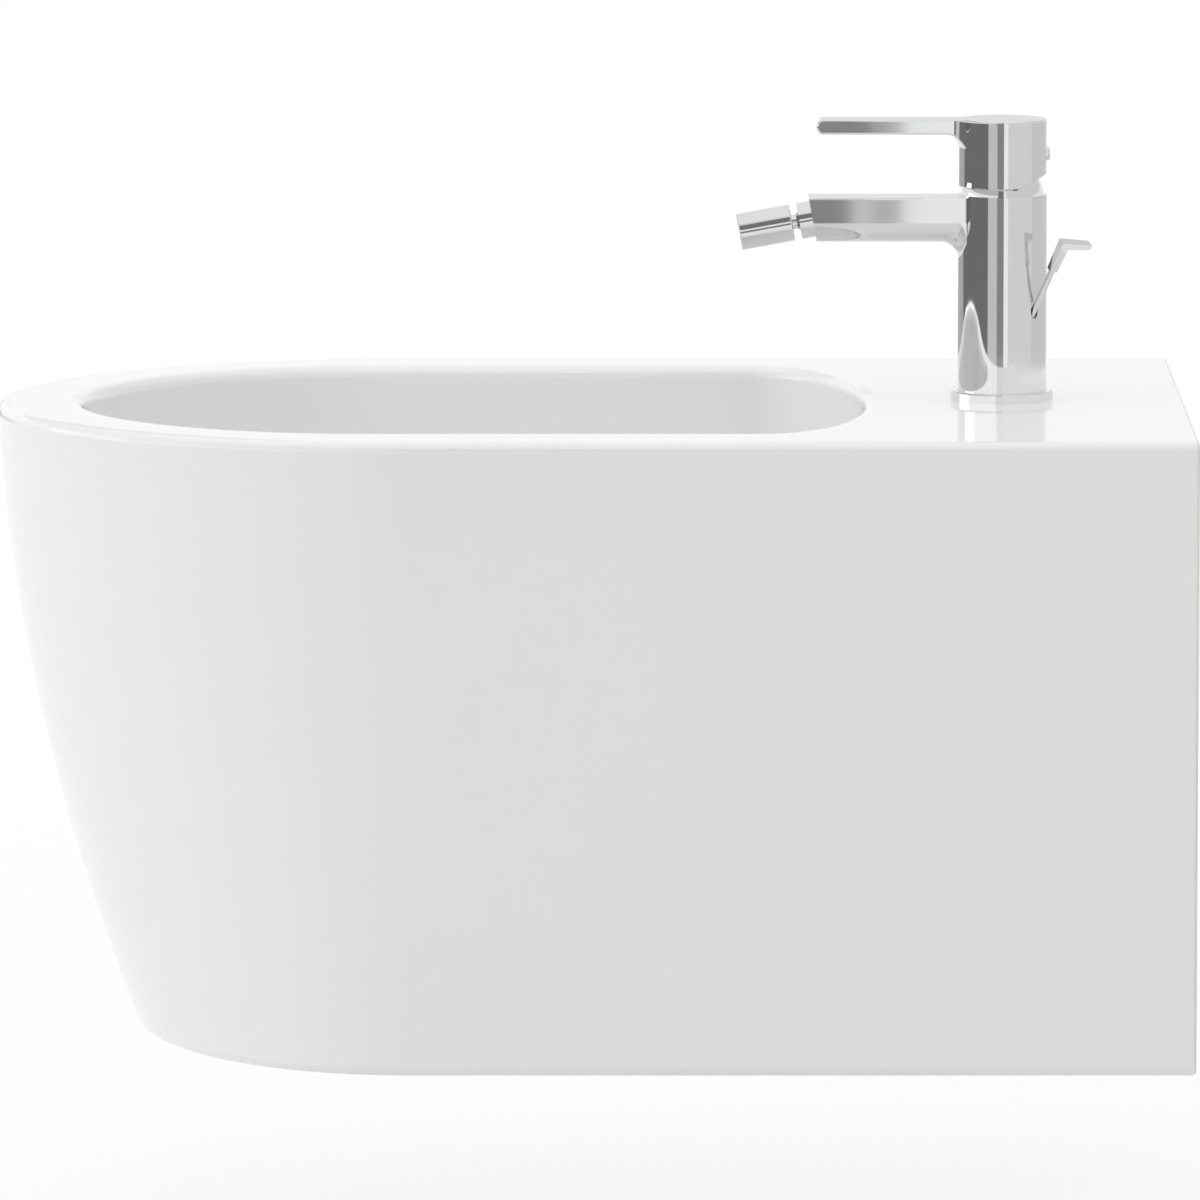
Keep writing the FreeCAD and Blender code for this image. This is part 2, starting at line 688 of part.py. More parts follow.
def cartridge_o_ring():
    centre = at_tap(0, 0, collar_h + HOUSING_FLANGE / 2)
    return Part.makeTorus(CHAMBER_R - O_RING_R - SEAT / 2, O_RING_R - SEAT / 2, centre, UP)


def cartridge_nut():
    nut = tube(CHAMBER_R - SEAT, TURRET_R + FREE, at_tap(0, 0, nut_h), UP, NUT_THICK)
    slots = []
    for angle in (0, 45, 90, 135):
        slot = block(Vector(-CHAMBER_R, -1.5, nut_h + NUT_THICK - 2),
                     Vector(CHAMBER_R, 1.5, nut_h + NUT_THICK + 1))
        slot.rotate(Vector(0, 0, 0), UP, angle)
        slot.translate(at_tap(0, 0, 0))
        slots.append(slot)
    return nut.cut(slots)


def turret():
    flange = cylinder(TURRET_FLANGE_R, at_tap(0, 0, flange_h), UP, TURRET_FLANGE)
    neck = cylinder(TURRET_R, at_tap(0, 0, flange_h), UP, TURRET_TOP - flange_h)
    swing = (PIVOT_H - flange_h) * math.tan(stem_lean) + STEM_R + 1
    slot = block(at_tap(-STEM_R - FREE, -swing, flange_h - 1), at_tap(STEM_R + FREE, swing, TURRET_TOP + 1))
    pin_hole = cylinder(PIN_R, pivot - SIDE * PIN_LENGTH / 2, SIDE, PIN_LENGTH)
    return joined([flange, neck]).cut([slot, pin_hole])


def pivot_pin():
    return cylinder(PIN_R, pivot - SIDE * PIN_LENGTH / 2, SIDE, PIN_LENGTH)


def along_stem(shape):
    turned = shape.copy()
    turned.rotate(Vector(0, 0, 0), SIDE, math.degrees(stem_lean))
    turned.translate(pivot)
    return turned


def lever_stem():
    shoulder = TURRET_TOP - PIVOT_H + 2
    half = STEM_SQUARE / 2
    shank = cylinder(STEM_R, Vector(0, 0, -STEM_BALL_DROP), UP, STEM_BALL_DROP + shoulder + 1)
    head = block(Vector(-half, -half, shoulder), Vector(half, half, STEM_REACH))
    knob = sphere(STEM_R, Vector(0, 0, -STEM_BALL_DROP))
    eye = cylinder(PIN_R + RUN, Vector(-STEM_SQUARE, 0, 0), SIDE, 2 * STEM_SQUARE)
    return along_stem(joined([shank, head, knob]).cut(eye))


def dome_cover():
    body_top = at_tap(0, 0, TAP_TOP)
    above = cylinder(2 * DOME_R, body_top, UP, DOME_TOP - TAP_TOP)
    dome = sphere(DOME_R, pivot).common(above)
    above_floor = cylinder(2 * DOME_R, body_top + UP * DOME_FLOOR, UP, DOME_R)
    inside = sphere(DOME_R - DOME_SHELL, pivot).common(above_floor)
    top_plate = cylinder(2 * DOME_R, at_tap(0, 0, DOME_TOP - DOME_SHELL), UP, DOME_SHELL)
    inside = inside.cut(top_plate)
    skirt = cylinder(CHAMBER_R - SEAT, body_top - UP * DOME_SKIRT, UP, DOME_SKIRT)
    waist = cylinder(CHAMBER_R - DOME_SKIRT_WALL, body_top - UP * DOME_SKIRT, UP, DOME_SKIRT + DOME_FLOOR)
    mouth = cylinder(DOME_HOLE_R, body_top, UP, DOME_R)
    return joined([dome, skirt]).cut([inside, waist, mouth])


# Lever handle: a round cap over the dome with a flat, round-nosed arm towards the front
def arm_block(start, end, top):
    half = ARM_WIDTH / 2
    return block(at_tap(-half, start, CAP_TOP - ARM_THICK), at_tap(half, end, top))


def arm_tip():
    tip = tap_y - ARM_REACH
    end = tip + ARM_TIP
    nose = arm_block(-ARM_REACH, 2 * ARM_TIP - ARM_REACH, CAP_TOP)
    nose = rounded(nose, ARM_TIP_R, lambda b: near(b.YMax, tip) and b.XLength > 1)
    nose = rounded(nose, HANDLE_EDGE_R, lambda b: b.XLength < 0.01 and b.YMin < end)
    return nose.common(arm_block(-ARM_REACH - 1, ARM_TIP - ARM_REACH, CAP_TOP))


def cap_relief():
    slope = math.radians(CAP_RELIEF_ANGLE)
    reach = 2 * CAP_R
    start = at_tap(-reach, CAP_RELIEF_Y, CAP_BOTTOM)
    foot = start + Vector(0, reach, 0)
    crest = foot + Vector(0, 0, reach * math.tan(slope))
    triangle = Part.Face(Part.makePolygon([start, foot, crest, start]))
    return triangle.extrude(SIDE * 2 * reach)


def lever_blank():
    tall = CAP_TOP + OVERRUN
    arm = arm_block(ARM_TIP - ARM_REACH, 0, tall)
    arm_low = rim + CAP_TOP - ARM_THICK
    cap = cylinder(CAP_R, at_tap(0, 0, CAP_BOTTOM), UP, CAP_TOP - CAP_BOTTOM)
    blank = cylinder(CAP_R, at_tap(0, 0, CAP_BOTTOM), UP, tall - CAP_BOTTOM).fuse(arm)
    corner_y = tap_y - math.sqrt(CAP_R ** 2 - ARM_WIDTH ** 2 / 4)
    blank = rounded(blank, ARM_ROOT_R, lambda b: b.YMax < corner_y + 0.5 and b.YMin > tap_y - CAP_R - 0.1
                    and b.ZMin > rim + CAP_BOTTOM + 1 and b.ZMin < rim + CAP_TOP)
    blank = rounded(blank, HANDLE_EDGE_R, lambda b: near(b.ZMin, arm_low) and near(b.ZMax, arm_low)
                    and b.XLength < 0.01)
    reach = 2 * ARM_REACH
    root_low = CAP_TOP - ARM_THICK - ARM_ROOT_R + ARM_ROOT_RUNOUT
    kept = block(at_tap(-reach, -reach, root_low), at_tap(reach, reach, CAP_TOP))
    blank = joined([cap, blank.common(kept)])
    arm_end = tap_y + ARM_TIP - ARM_REACH
    blank = rounded(blank, HANDLE_EDGE_R, lambda b: near(b.ZMin, rim + CAP_TOP) and not near(b.YMax, arm_end))
    return joined([blank, arm_tip()])


def lever_handle():
    handle = lever_blank()
    half = (STEM_SQUARE + SEAT) / 2
    cavity = sphere(DOME_R + FREE + 0.05, pivot).common(
        cylinder(2 * DOME_R, pivot - UP * DOME_R, UP, DOME_R + SCREW_H - GRUB_R - 1 - PIVOT_H))
    socket = along_stem(block(Vector(-half, -half, 0), Vector(half, half, STEM_REACH + SEAT)))
    screw_hole = cylinder(GRUB_R + SEAT / 2, at_tap(0, 0, SCREW_H) - BACK * 6, BACK, CAP_R + OVERRUN)
    cover_hole = cylinder(COVER_R + SEAT / 2, at_tap(0, CAP_R - COVER_DEPTH, SCREW_H), BACK, OVERRUN)
    return handle.cut([cavity, socket, cap_relief(), screw_hole, cover_hole])


def grub_screw():
    contact = STEM_SQUARE / 2 / math.cos(stem_lean) - (SCREW_H - PIVOT_H) * math.tan(stem_lean) + 0.6
    screw = cylinder(GRUB_R, at_tap(0, contact, SCREW_H), BACK, GRUB_LENGTH)
    return screw.cut(hexagon(GRUB_R, at_tap(0, contact + GRUB_LENGTH, SCREW_H), GRUB_LENGTH / 2, -BACK))


def screw_cover():
    plug = cylinder(COVER_R, at_tap(0, CAP_R - COVER_DEPTH, SCREW_H), BACK, COVER_DEPTH + COVER_PROUD)
    return rounded(plug, COVER_PROUD * 0.8, lambda b: b.YMin > tap_y + CAP_R + COVER_PROUD - 0.1)


# Swivel nozzle: a ball with a neck turns in a liner inside the collar
def spout_collar():
    ring = cylinder(NOZZLE_R, spout_face, spray, COLLAR_LENGTH)
    stub = cylinder(COLLAR_STUB_R, spout_face, -spray, COLLAR_STUB)
    socket_r = BALL_R + RUN + LINER + RUN
    bore = cylinder(socket_r, ball, -spray, COLLAR_STUB + OVERRUN)
    collar = joined([ring, stub]).cut([sphere(socket_r, ball), bore])
    return collar


def collar_seal():
    return tube(COLLAR_STUB_R, SPOUT_BORE_R, spout_face - spray * COLLAR_STUB, -spray, collar_seal_thick)


def ball_liner():
    inner = BALL_R + RUN
    shell = sphere(inner + LINER, ball).cut(sphere(inner, ball))
    front = cylinder(2 * BALL_R, ball + spray * 1.6, spray, 2 * BALL_R)
    rear = cylinder(NECK_R, ball, -spray, 2 * BALL_R)
    return shell.cut([front, rear])


def swivel_ball():
    neck = between(NECK_R, ball, nozzle_rear)
    stub = cylinder(NECK_R + 1, nozzle_rear, spray, NOZZLE_GAP + 1)
    bore = cylinder(NECK_BORE_R, ball - spray * 2 * BALL_R, spray, 6 * BALL_R)
    return joined([sphere(BALL_R, ball), neck, stub]).cut(bore)


def nozzle_shell():
    shell = cylinder(NOZZLE_R, nozzle_rear, spray, NOZZLE_LENGTH)
    shell = shell.makeFillet(0.6, [edge for edge in shell.Edges if edge.BoundBox.DiagonalLength > NOZZLE_R
                                   and len(edge.Vertexes) == 1])
    cavity = cylinder(NOZZLE_R - NOZZLE_WALL, nozzle_rear + spray * NOZZLE_GAP, spray, NOZZLE_LENGTH)
    thread = cylinder(NECK_R + 1 + SEAT / 2, nozzle_rear - spray, spray, NOZZLE_LENGTH)
    return shell.cut([cavity, thread])


def nozzle_seal():
    inner = NECK_R + 1 + SEAT
    return tube(NOZZLE_R - NOZZLE_WALL - SEAT, inner, nozzle_rear + spray * NOZZLE_GAP, spray, 1.0)


def aerator():
    start = nozzle_rear + spray * (NOZZLE_LENGTH - AERATOR_RECESS - AERATOR_LENGTH)
    body = cylinder(NOZZLE_R - NOZZLE_WALL - SEAT, start, spray, AERATOR_LENGTH)
    across = Vector(1, 0, 0)
    over = spray.cross(across)
    holes = []
    for ring in (1, 2):
        count = 6 * ring
        radius = AERATOR_RING_R * ring
        for k in range(count):
            turn = 2 * math.pi * k / count
            spot = start + across * radius * math.cos(turn) + over * radius * math.sin(turn)
            holes.append(cylinder(AERATOR_HOLE_R, spot - spray, spray, AERATOR_LENGTH + 2))
    return body.cut(holes)


# Pull rod with its finger grip, a flat bar bent into a tab, and the yoke that turns its slanted pull upright
def pull_handle():
    foot = rod_entry + rod_axis * ROD_EXPOSED
    outwards = Vector(rod_axis.z, 0, -rod_axis.x)
    turn = math.radians(TAB_TURN)
    tab_way = outwards * math.cos(turn) + BACK * math.sin(turn)
    face_way = rod_axis.cross(tab_way)
    half = GRIP_WIDTH / 2
    tip = TAB_LENGTH - half

    def corner(along, up):
        return foot + tab_way * along + rod_axis * up - face_way * GRIP_DEPTH / 2

    profile = [corner(GRIP_TAPER - half, 0), corner(-half, GRIP_LENGTH), corner(tip, GRIP_LENGTH),
               corner(tip, GRIP_LENGTH - TAB_TIP), corner(half, GRIP_LENGTH - TAB_ROOT),
               corner(half - GRIP_TAPER, 0)]
    bar = Part.Face(Part.makePolygon(profile + profile[:1])).extrude(face_way * GRIP_DEPTH)
    bar = bar.makeFillet(TAB_TIP_R, [edge for edge in bar.Edges if near(edge.Length, GRIP_DEPTH)
                                     and near((edge.CenterOfMass - foot).dot(tab_way), tip)])
    bar = bar.makeFillet(GRIP_EDGE_R, [edge for edge in bar.Edges
                                       if (edge.CenterOfMass - foot).dot(rod_axis) > GRIP_EDGE_R
                                       and not near((edge.CenterOfMass - foot).dot(face_way), 0)])
    bore = cylinder(ROD_R, foot, rod_axis, GRIP_LENGTH / 2)
    return in_rod_plane(bar.cut(bore))


def pull_rod():
    end = rod_low - rod_axis * ROD_END / 2
    rod = between(ROD_R, end, rod_entry + rod_axis * (ROD_EXPOSED + GRIP_LENGTH / 2))
    eye = cylinder(ROD_END_R, end, rod_axis, ROD_END)
    hole = cylinder(YOKE_PIN_R, rod_low - Vector(0, ROD_END_R + 1, 0), BACK, 2 * ROD_END_R + 2)
    return in_rod_plane(joined([rod, eye]).cut(hole))


def yoke_pin():
    length = ROD_END_R + YOKE_SIDE + YOKE_THICK / 2 + YOKE_PIN_END
    return in_rod_plane(cylinder(YOKE_PIN_R, rod_low + Vector(0, ROD_END_R, 0), -BACK, length))


def rod_bush():
    inner_end = rod_entry - rod_axis * ((TAP_R - SHANK_R) / math.sin(lean))
    return in_rod_plane(tube(ROD_HOLE_R, ROD_R + RUN, inner_end, rod_axis, ROD_BUSH))


yoke_mid = -YOKE_SIDE
lift_local = Vector(yoke_mid * math.tan(math.radians(ROD_AZIMUTH)), yoke_mid, 0)
lift_spot = in_rod_plane(Part.Vertex(lift_local)).Point
pull_rise = PULL_TRAVEL * math.cos(lean)
pull_run = PULL_TRAVEL * math.sin(lean)

# The waste: the ball rod rocks about a ball beside the waste and lifts the plug's stem
flange_z = floor_z - FLANGE_RECESS + FLANGE_SEAL
tube_end = flange_z - TUBE_LENGTH
waste_top = tube_end + WASTE_SCREW
pivot_z = tube_end - PORT_BELOW_SCREW
pivot_ball = Vector(0, drain.y + PIVOT_OUT, pivot_z)
port_bore_r = PORT_TUBE_R - PORT_TUBE_WALL
rod_arm = lift_spot.y - pivot_ball.y
rock = pull_rise / rod_arm
plug_travel = rock * PIVOT_OUT
hook_z = pivot_z - pull_rise / 2
eye_z = pivot_z + plug_travel / 2
plug_z = flange_z + FLANGE_THICK + PLUG_GAP + plug_travel
# The closed plug's ring stands just clear of the flange's 45 degree seat
seal_ring_r = TUBE_BORE_R + SEAT_DEPTH + PLUG_GAP - PLUG_SEAL_R - math.sqrt(2) * (PLUG_SEAL_R + FREE)


def lift_rod():
    slot_half = YOKE_PIN_R + 0.2
    low = rod_low.z - YOKE_HEIGHT / 2
    plate = block(Vector(rod_low.x - 4, yoke_mid - YOKE_THICK / 2, low),
                  Vector(rod_low.x + pull_run + 4, yoke_mid + YOKE_THICK / 2, low + YOKE_HEIGHT))
    slot = block(Vector(rod_low.x - slot_half, -OVERRUN, rod_low.z - slot_half),
                 Vector(rod_low.x + pull_run + slot_half, OVERRUN, rod_low.z + slot_half))
    yoke = in_rod_plane(plate.cut(slot))
    top = Vector(lift_spot.x, lift_spot.y, rim + low + 1)
    rod = between(LIFT_ROD_R, top, Vector(top.x, top.y, clevis_top - CLEVIS_HEIGHT + 2))
    return joined([yoke, rod])


strap_rise = STRAP_PITCH * STRAP_HOLES
clevis_top = hook_z + strap_rise + CLEVIS_HEIGHT


def clevis_strap():
    half = STRAP_WIDTH / 2
    middle = lift_spot.y
    head = block(Vector(-half, middle - CLEVIS_DEPTH / 2, clevis_top - CLEVIS_HEIGHT),
                 Vector(half, middle + CLEVIS_DEPTH / 2, clevis_top))
    strap = block(Vector(-half, middle - STRAP_THICK / 2, hook_z - half),
                  Vector(half, middle + STRAP_THICK / 2, clevis_top - 1))
    bore = cylinder(LIFT_ROD_R, Vector(0, middle, clevis_top - CLEVIS_HEIGHT + 2), UP, CLEVIS_HEIGHT)
    front = Vector(0, middle - STRAP_THICK, hook_z)
    holes = [cylinder(BALL_ROD_R + 2 * FREE, front + UP * STRAP_PITCH * k, BACK, 2 * STRAP_THICK)
             for k in range(STRAP_HOLES)]
    thread = cylinder(CLEVIS_SCREW_R, Vector(0, middle, clevis_top - CLEVIS_HEIGHT / 2), -BACK, CLEVIS_DEPTH)
    return joined([head, strap]).cut([bore, thread] + holes)


def clevis_screw():
    contact = Vector(0, lift_spot.y - LIFT_ROD_R, clevis_top - CLEVIS_HEIGHT / 2)
    shank = CLEVIS_DEPTH / 2 - LIFT_ROD_R
    head = cylinder(2.2 * CLEVIS_SCREW_R, contact - BACK * shank, -BACK, 4)
    return joined([cylinder(CLEVIS_SCREW_R, contact, -BACK, shank), head])


def rocked(shape):
    turned = shape.copy()
    turned.rotate(pivot_ball, SIDE, -math.degrees(rock / 2))
    return turned


def ball_rod():
    rod = cylinder(BALL_ROD_R, pivot_ball - BACK * (PIVOT_OUT + 4.5), BACK,
                   PIVOT_OUT + 4.5 + rod_arm + BALL_ROD_TAIL)
    return rocked(joined([rod, sphere(PIVOT_BALL_R, pivot_ball)]))


def spring_clip():
    centre = pivot_ball + BACK * rod_arm
    half = STRAP_WIDTH / 2
    low = half + CLIP_DROP
    outer = block(centre + Vector(-half, -CLIP_GAP - CLIP_THICK, -low - CLIP_THICK),
                  centre + Vector(half, CLIP_GAP + CLIP_THICK, half))
    inner = block(centre + Vector(-half - 1, -CLIP_GAP, -low), centre + Vector(half + 1, CLIP_GAP, half + 1))
    hole = cylinder(BALL_ROD_R, centre - BACK * OVERRUN, BACK, 2 * OVERRUN)
    return rocked(outer.cut([inner, hole]))


def ball_seals():
    rings = []
    for way in (-BACK, BACK):
        ring = cylinder(port_bore_r - SEAT, pivot_ball + way * PIVOT_SPLIT, way, PIVOT_SEAT)
        bore = cylinder(BALL_ROD_R + PIVOT_ROOM, pivot_ball, way, OVERRUN)
        rings.append(ring.cut([sphere(PIVOT_BALL_R + RUN, pivot_ball), bore]))
    return Part.makeCompound(rings)


def ball_nut():
    end = pivot_ball + BACK * (PIVOT_SPLIT + PIVOT_SEAT)
    start = end - BACK * (BALL_NUT - BALL_NUT_FACE)
    nut = hex_nut(BALL_NUT_FLATS, start, BALL_NUT, BACK)
    thread = cylinder(PORT_TUBE_R + SEAT, start, BACK, BALL_NUT - BALL_NUT_FACE)
    return nut.cut([thread, cylinder(BALL_NUT_HOLE_R, end - BACK, BACK, BALL_NUT)])


def waste_flange():
    foot = Vector(0, drain.y, flange_z)
    plate = cylinder(FLANGE_R, foot, UP, FLANGE_THICK)
    plate = rounded(plate, 1.0, lambda b: near(b.ZMin, flange_z + FLANGE_THICK))
    pipe = cylinder(TUBE_R, foot, DOWN, TUBE_LENGTH)
    bore = cylinder(TUBE_BORE_R, foot + UP * OVERRUN, DOWN, TUBE_LENGTH + 2 * OVERRUN)
    seat = Part.makeCone(TUBE_BORE_R, TUBE_BORE_R + SEAT_DEPTH + 1, SEAT_DEPTH + 1,
                         foot + UP * (FLANGE_THICK - SEAT_DEPTH), UP)
    window_z = floor_z - OVERFLOW_BELOW_FLOOR
    across = block(Vector(-FLANGE_R, drain.y - WINDOW_WIDTH / 2, window_z - WINDOW_HEIGHT / 2),
                   Vector(FLANGE_R, drain.y + WINDOW_WIDTH / 2, window_z + WINDOW_HEIGHT / 2))
    along = across.copy()
    along.rotate(Vector(0, drain.y, 0), UP, 90)
    return joined([plate, pipe]).cut([bore, seat, across, along])


def flange_seal():
    return tube(FLANGE_R - 1, DRAIN_HOLE_R + 0.5, Vector(0, drain.y, flange_z), DOWN, FLANGE_SEAL)


def waste_ring(top, thick):
    return tube(WASHER_R, TUBE_R + SEAT, Vector(0, drain.y, top), DOWN, thick)


def waste_nut():
    top = Vector(0, drain.y, boss_z - LOWER_SEAL - WASHER_THICK)
    return hex_nut(WASTE_NUT_FLATS, top, WASTE_NUT, DOWN).cut(cylinder(TUBE_R, top, DOWN, WASTE_NUT))


waste_foot = waste_top - WASTE_LENGTH


def waste_body():
    top = Vector(0, drain.y, waste_top)
    can = cylinder(WASTE_R, top, DOWN, WASTE_LENGTH)
    port_end = pivot_ball + BACK * (PIVOT_SPLIT + PIVOT_SEAT)
    axis_point = Vector(0, drain.y, pivot_z)
    port = between(PORT_TUBE_R, axis_point, port_end)
    inner_seat = pivot_ball - BACK * (PIVOT_SPLIT + PIVOT_SEAT)
    cuts = [
        cylinder(TUBE_R + SEAT, top, DOWN, WASTE_SCREW),
        cylinder(TUBE_BORE_R, top, DOWN, WASTE_LENGTH - WASTE_FOOT),
        cylinder(TAIL_R + SEAT, top, DOWN, WASTE_LENGTH + 1),
        between(port_bore_r, inner_seat, port_end + BACK),
        between(BALL_ROD_R + PIVOT_ROOM, axis_point, port_end),
    ]
    return joined([can, port]).cut(cuts)


def tailpiece():
    top = Vector(0, drain.y, waste_foot + WASTE_FOOT - 1)
    nut_end = waste_foot - TAIL_SEAL - TAIL_LIP
    free_end = Vector(0, drain.y, nut_end)
    spigot = between(TAIL_R - TAIL_STEP, top, free_end)
    pipe = cylinder(TAIL_R, free_end, DOWN, TAIL_LENGTH)
    bore = cylinder(TAIL_R - TAIL_STEP - TAIL_WALL, top, DOWN, TAIL_LENGTH + (top - free_end).Length)
    return joined([spigot, pipe]).cut(bore)


def tail_seal():
    return tube(WASTE_R - 1, TAIL_R - TAIL_STEP, Vector(0, drain.y, waste_foot), DOWN, TAIL_SEAL)


def tail_nut():
    top = Vector(0, drain.y, waste_foot + TAIL_THREAD)
    length = TAIL_THREAD + TAIL_SEAL + TAIL_LIP
    nut = cylinder(TAIL_NUT_R, top, DOWN, length)
    cuts = [cylinder(WASTE_R + SEAT, top, DOWN, TAIL_THREAD + TAIL_SEAL),
            cylinder(TAIL_R - TAIL_STEP + SEAT, top, DOWN, length + 1)]
    for k in range(TAIL_NUT_GROOVES):
        turn = 2 * math.pi * k / TAIL_NUT_GROOVES
        spot = top + Vector(TAIL_NUT_R * math.cos(turn), TAIL_NUT_R * math.sin(turn), 1)
        cuts.append(cylinder(TAIL_GROOVE_R, spot, DOWN, length + 2))
    return nut.cut(cuts)


def plug_cap():
    foot = Vector(0, drain.y, plug_z)
    crown_r = (PLUG_R ** 2 + PLUG_CROWN ** 2) / (2 * PLUG_CROWN)
    rim_disc = cylinder(PLUG_R, foot, UP, PLUG_RIM)
    crown = sphere(crown_r, foot + UP * (PLUG_RIM + PLUG_CROWN - crown_r)).common(
        cylinder(PLUG_R, foot + UP * PLUG_RIM, UP, PLUG_CROWN + 1))
    return joined([rim_disc, crown])


def plug_seal():
    centre = Vector(0, drain.y, plug_z - PLUG_SEAL_R)
    return Part.makeTorus(seal_ring_r, PLUG_SEAL_R, centre, UP)


def plug_stem():
    top = Vector(0, drain.y, plug_z)
    hub = cylinder(seal_ring_r - PLUG_SEAL_R - SEAT, top, DOWN, 2 * PLUG_SEAL_R)
    plate = cylinder(TUBE_BORE_R - 1.0, top - UP * 2 * PLUG_SEAL_R, DOWN, 2)
    core = between(PLUG_CORE_R, top, Vector(0, drain.y, eye_z))
    reach = TUBE_BORE_R - 2 * FREE
    fin_low = eye_z + EYE_R + EYE_WALL + 4
    fin = block(Vector(-reach, drain.y - PLUG_FIN / 2, fin_low),
                Vector(reach, drain.y + PLUG_FIN / 2, plug_z - 4))
    cross = fin.copy()
    cross.rotate(drain, UP, 90)
    boss = cylinder(EYE_R + EYE_WALL, Vector(0, drain.y - 3, eye_z), BACK, 6)
    eye = cylinder(EYE_R, Vector(0, drain.y - OVERRUN, eye_z), BACK, 2 * OVERRUN)
    return joined([hub, plate, core, fin, cross, boss]).cut(eye)


ceramic_rim, ceramic_bowl, ceramic_skirt = castings()
save("ceramic_rim", ceramic_rim)
save("ceramic_bowl", ceramic_bowl)
save("ceramic_skirt", ceramic_skirt)
save("wall_sleeves", wall_sleeves())
save("tap_body", tap_body())
save("base_ring", base_ring())
save("base_seal", base_seal())
save("fixing_stud", fixing_stud())
save("fixing_gasket", horseshoe(-DECK, CLAMP_GASKET))
save("fixing_plate", horseshoe(-DECK - CLAMP_GASKET, CLAMP_PLATE))
save("fixing_nut", fixing_nut())
save("cartridge_base", cartridge_base())
save("cartridge_seals", cartridge_seals())
save("fixed_disc", fixed_disc())
save("moving_disc", moving_disc())
save("disc_carrier", disc_carrier())
save("cartridge_housing", cartridge_housing())
save("cartridge_o_ring", cartridge_o_ring())
save("cartridge_nut", cartridge_nut())
save("turret", turret())
save("pivot_pin", pivot_pin())
save("lever_stem", lever_stem())
save("dome_cover", dome_cover())
save("lever_handle", lever_handle())
save("grub_screw", grub_screw())
save("screw_cover", screw_cover())
save("spout_collar", spout_collar())
save("collar_seal", collar_seal())
save("ball_liner", ball_liner())
save("swivel_ball", swivel_ball())
save("nozzle_shell", nozzle_shell())
save("nozzle_seal", nozzle_seal())
save("aerator", aerator())
save("pull_handle", pull_handle())
save("pull_rod", pull_rod())
save("yoke_pin", yoke_pin())
save("rod_bush", rod_bush())
save("lift_rod", lift_rod())
save("clevis_strap", clevis_strap())
save("clevis_screw", clevis_screw())
save("ball_rod", ball_rod())
save("spring_clip", spring_clip())
save("ball_seals", ball_seals())
save("ball_nut", ball_nut())
save("waste_flange", waste_flange())
save("flange_seal", flange_seal())
save("lower_seal", waste_ring(boss_z, LOWER_SEAL))
save("waste_washer", waste_ring(boss_z - LOWER_SEAL, WASHER_THICK))
save("waste_nut", waste_nut())
save("waste_body", waste_body())
save("tail_seal", tail_seal())
save("tail_nut", tail_nut())
save("tailpiece", tailpiece())
save("plug_cap", plug_cap())
save("plug_seal", plug_seal())
save("plug_stem", plug_stem())

os.makedirs("parts", exist_ok=True)
for name, shape in nodes.items():
    shape.exportStep("parts/" + name + ".step")
    state = "valid" if shape.isValid() else "INVALID"
    print(name, len(shape.Solids), "solids", round(shape.Volume / 1000, 2), "cm3", state)
print("tap axis", at_tap(0, 0, 0), "pivot", pivot, "nozzle ball", ball, "spray", spray)
print("lift rod", lift_spot, "pivot ball", pivot_ball, "arm", rod_arm)
print("rock", rock, "plug travel", plug_travel, "stem ball drop", STEM_BALL_DROP)
print("rod axis", in_rod_plane(Part.Vertex(rod_axis)).Point - at_tap(0, 0, 0))
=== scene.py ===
# %% [markdown]
# # A wall-hung bidet in glazed china and chrome
# The real object is a ceramic bowl that hangs on two bolts, with a single-lever tap and a pop-up plug.
# Its exact solids come from CAD, so Blender's work here is what CAD doesn't give: the camera, the light,
# the finishes and small turned details such as threads. The solids could be modelled again here, but
# exact ones exist, so they are loaded first and stay where they are.

# %% Load the solids
import bpy
import bmesh
import json
import math
from mathutils import Matrix, Vector


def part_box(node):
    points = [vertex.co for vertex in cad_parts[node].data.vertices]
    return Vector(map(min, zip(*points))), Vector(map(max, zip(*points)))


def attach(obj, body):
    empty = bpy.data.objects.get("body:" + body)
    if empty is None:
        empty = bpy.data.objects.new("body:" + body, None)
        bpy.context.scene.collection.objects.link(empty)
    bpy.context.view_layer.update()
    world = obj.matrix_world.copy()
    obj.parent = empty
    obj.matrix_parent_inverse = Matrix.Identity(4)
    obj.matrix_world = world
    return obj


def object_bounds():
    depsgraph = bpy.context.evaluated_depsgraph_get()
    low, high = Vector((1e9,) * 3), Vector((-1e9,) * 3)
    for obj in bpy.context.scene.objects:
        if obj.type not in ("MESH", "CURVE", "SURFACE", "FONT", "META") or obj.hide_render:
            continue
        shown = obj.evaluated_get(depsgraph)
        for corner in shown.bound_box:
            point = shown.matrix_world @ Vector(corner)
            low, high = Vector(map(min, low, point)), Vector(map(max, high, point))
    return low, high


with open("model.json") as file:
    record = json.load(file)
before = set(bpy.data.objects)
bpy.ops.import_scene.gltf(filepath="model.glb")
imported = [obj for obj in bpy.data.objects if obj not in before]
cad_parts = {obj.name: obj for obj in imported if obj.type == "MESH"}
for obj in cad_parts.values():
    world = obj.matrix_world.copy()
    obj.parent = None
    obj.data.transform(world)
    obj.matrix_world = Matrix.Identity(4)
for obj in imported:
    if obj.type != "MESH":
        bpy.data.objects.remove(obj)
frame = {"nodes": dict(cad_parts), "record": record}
cad_box = [list(corner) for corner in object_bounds()]
print("solids:", len(frame["nodes"]), "box in metres:", cad_box)

# %% [markdown]
# ## Places that everything else refers to
# Every piece is in metres in the CAD frame: the wall is the plane y = 0, the front is towards -y and z
# is up. The few places that matter could be typed in. Reading them from the solids' boxes keeps this
# script right if a size changes.

# %% Read the main places
foot_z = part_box("ceramic_skirt")[0].z
rim_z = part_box("ceramic_rim")[1].z


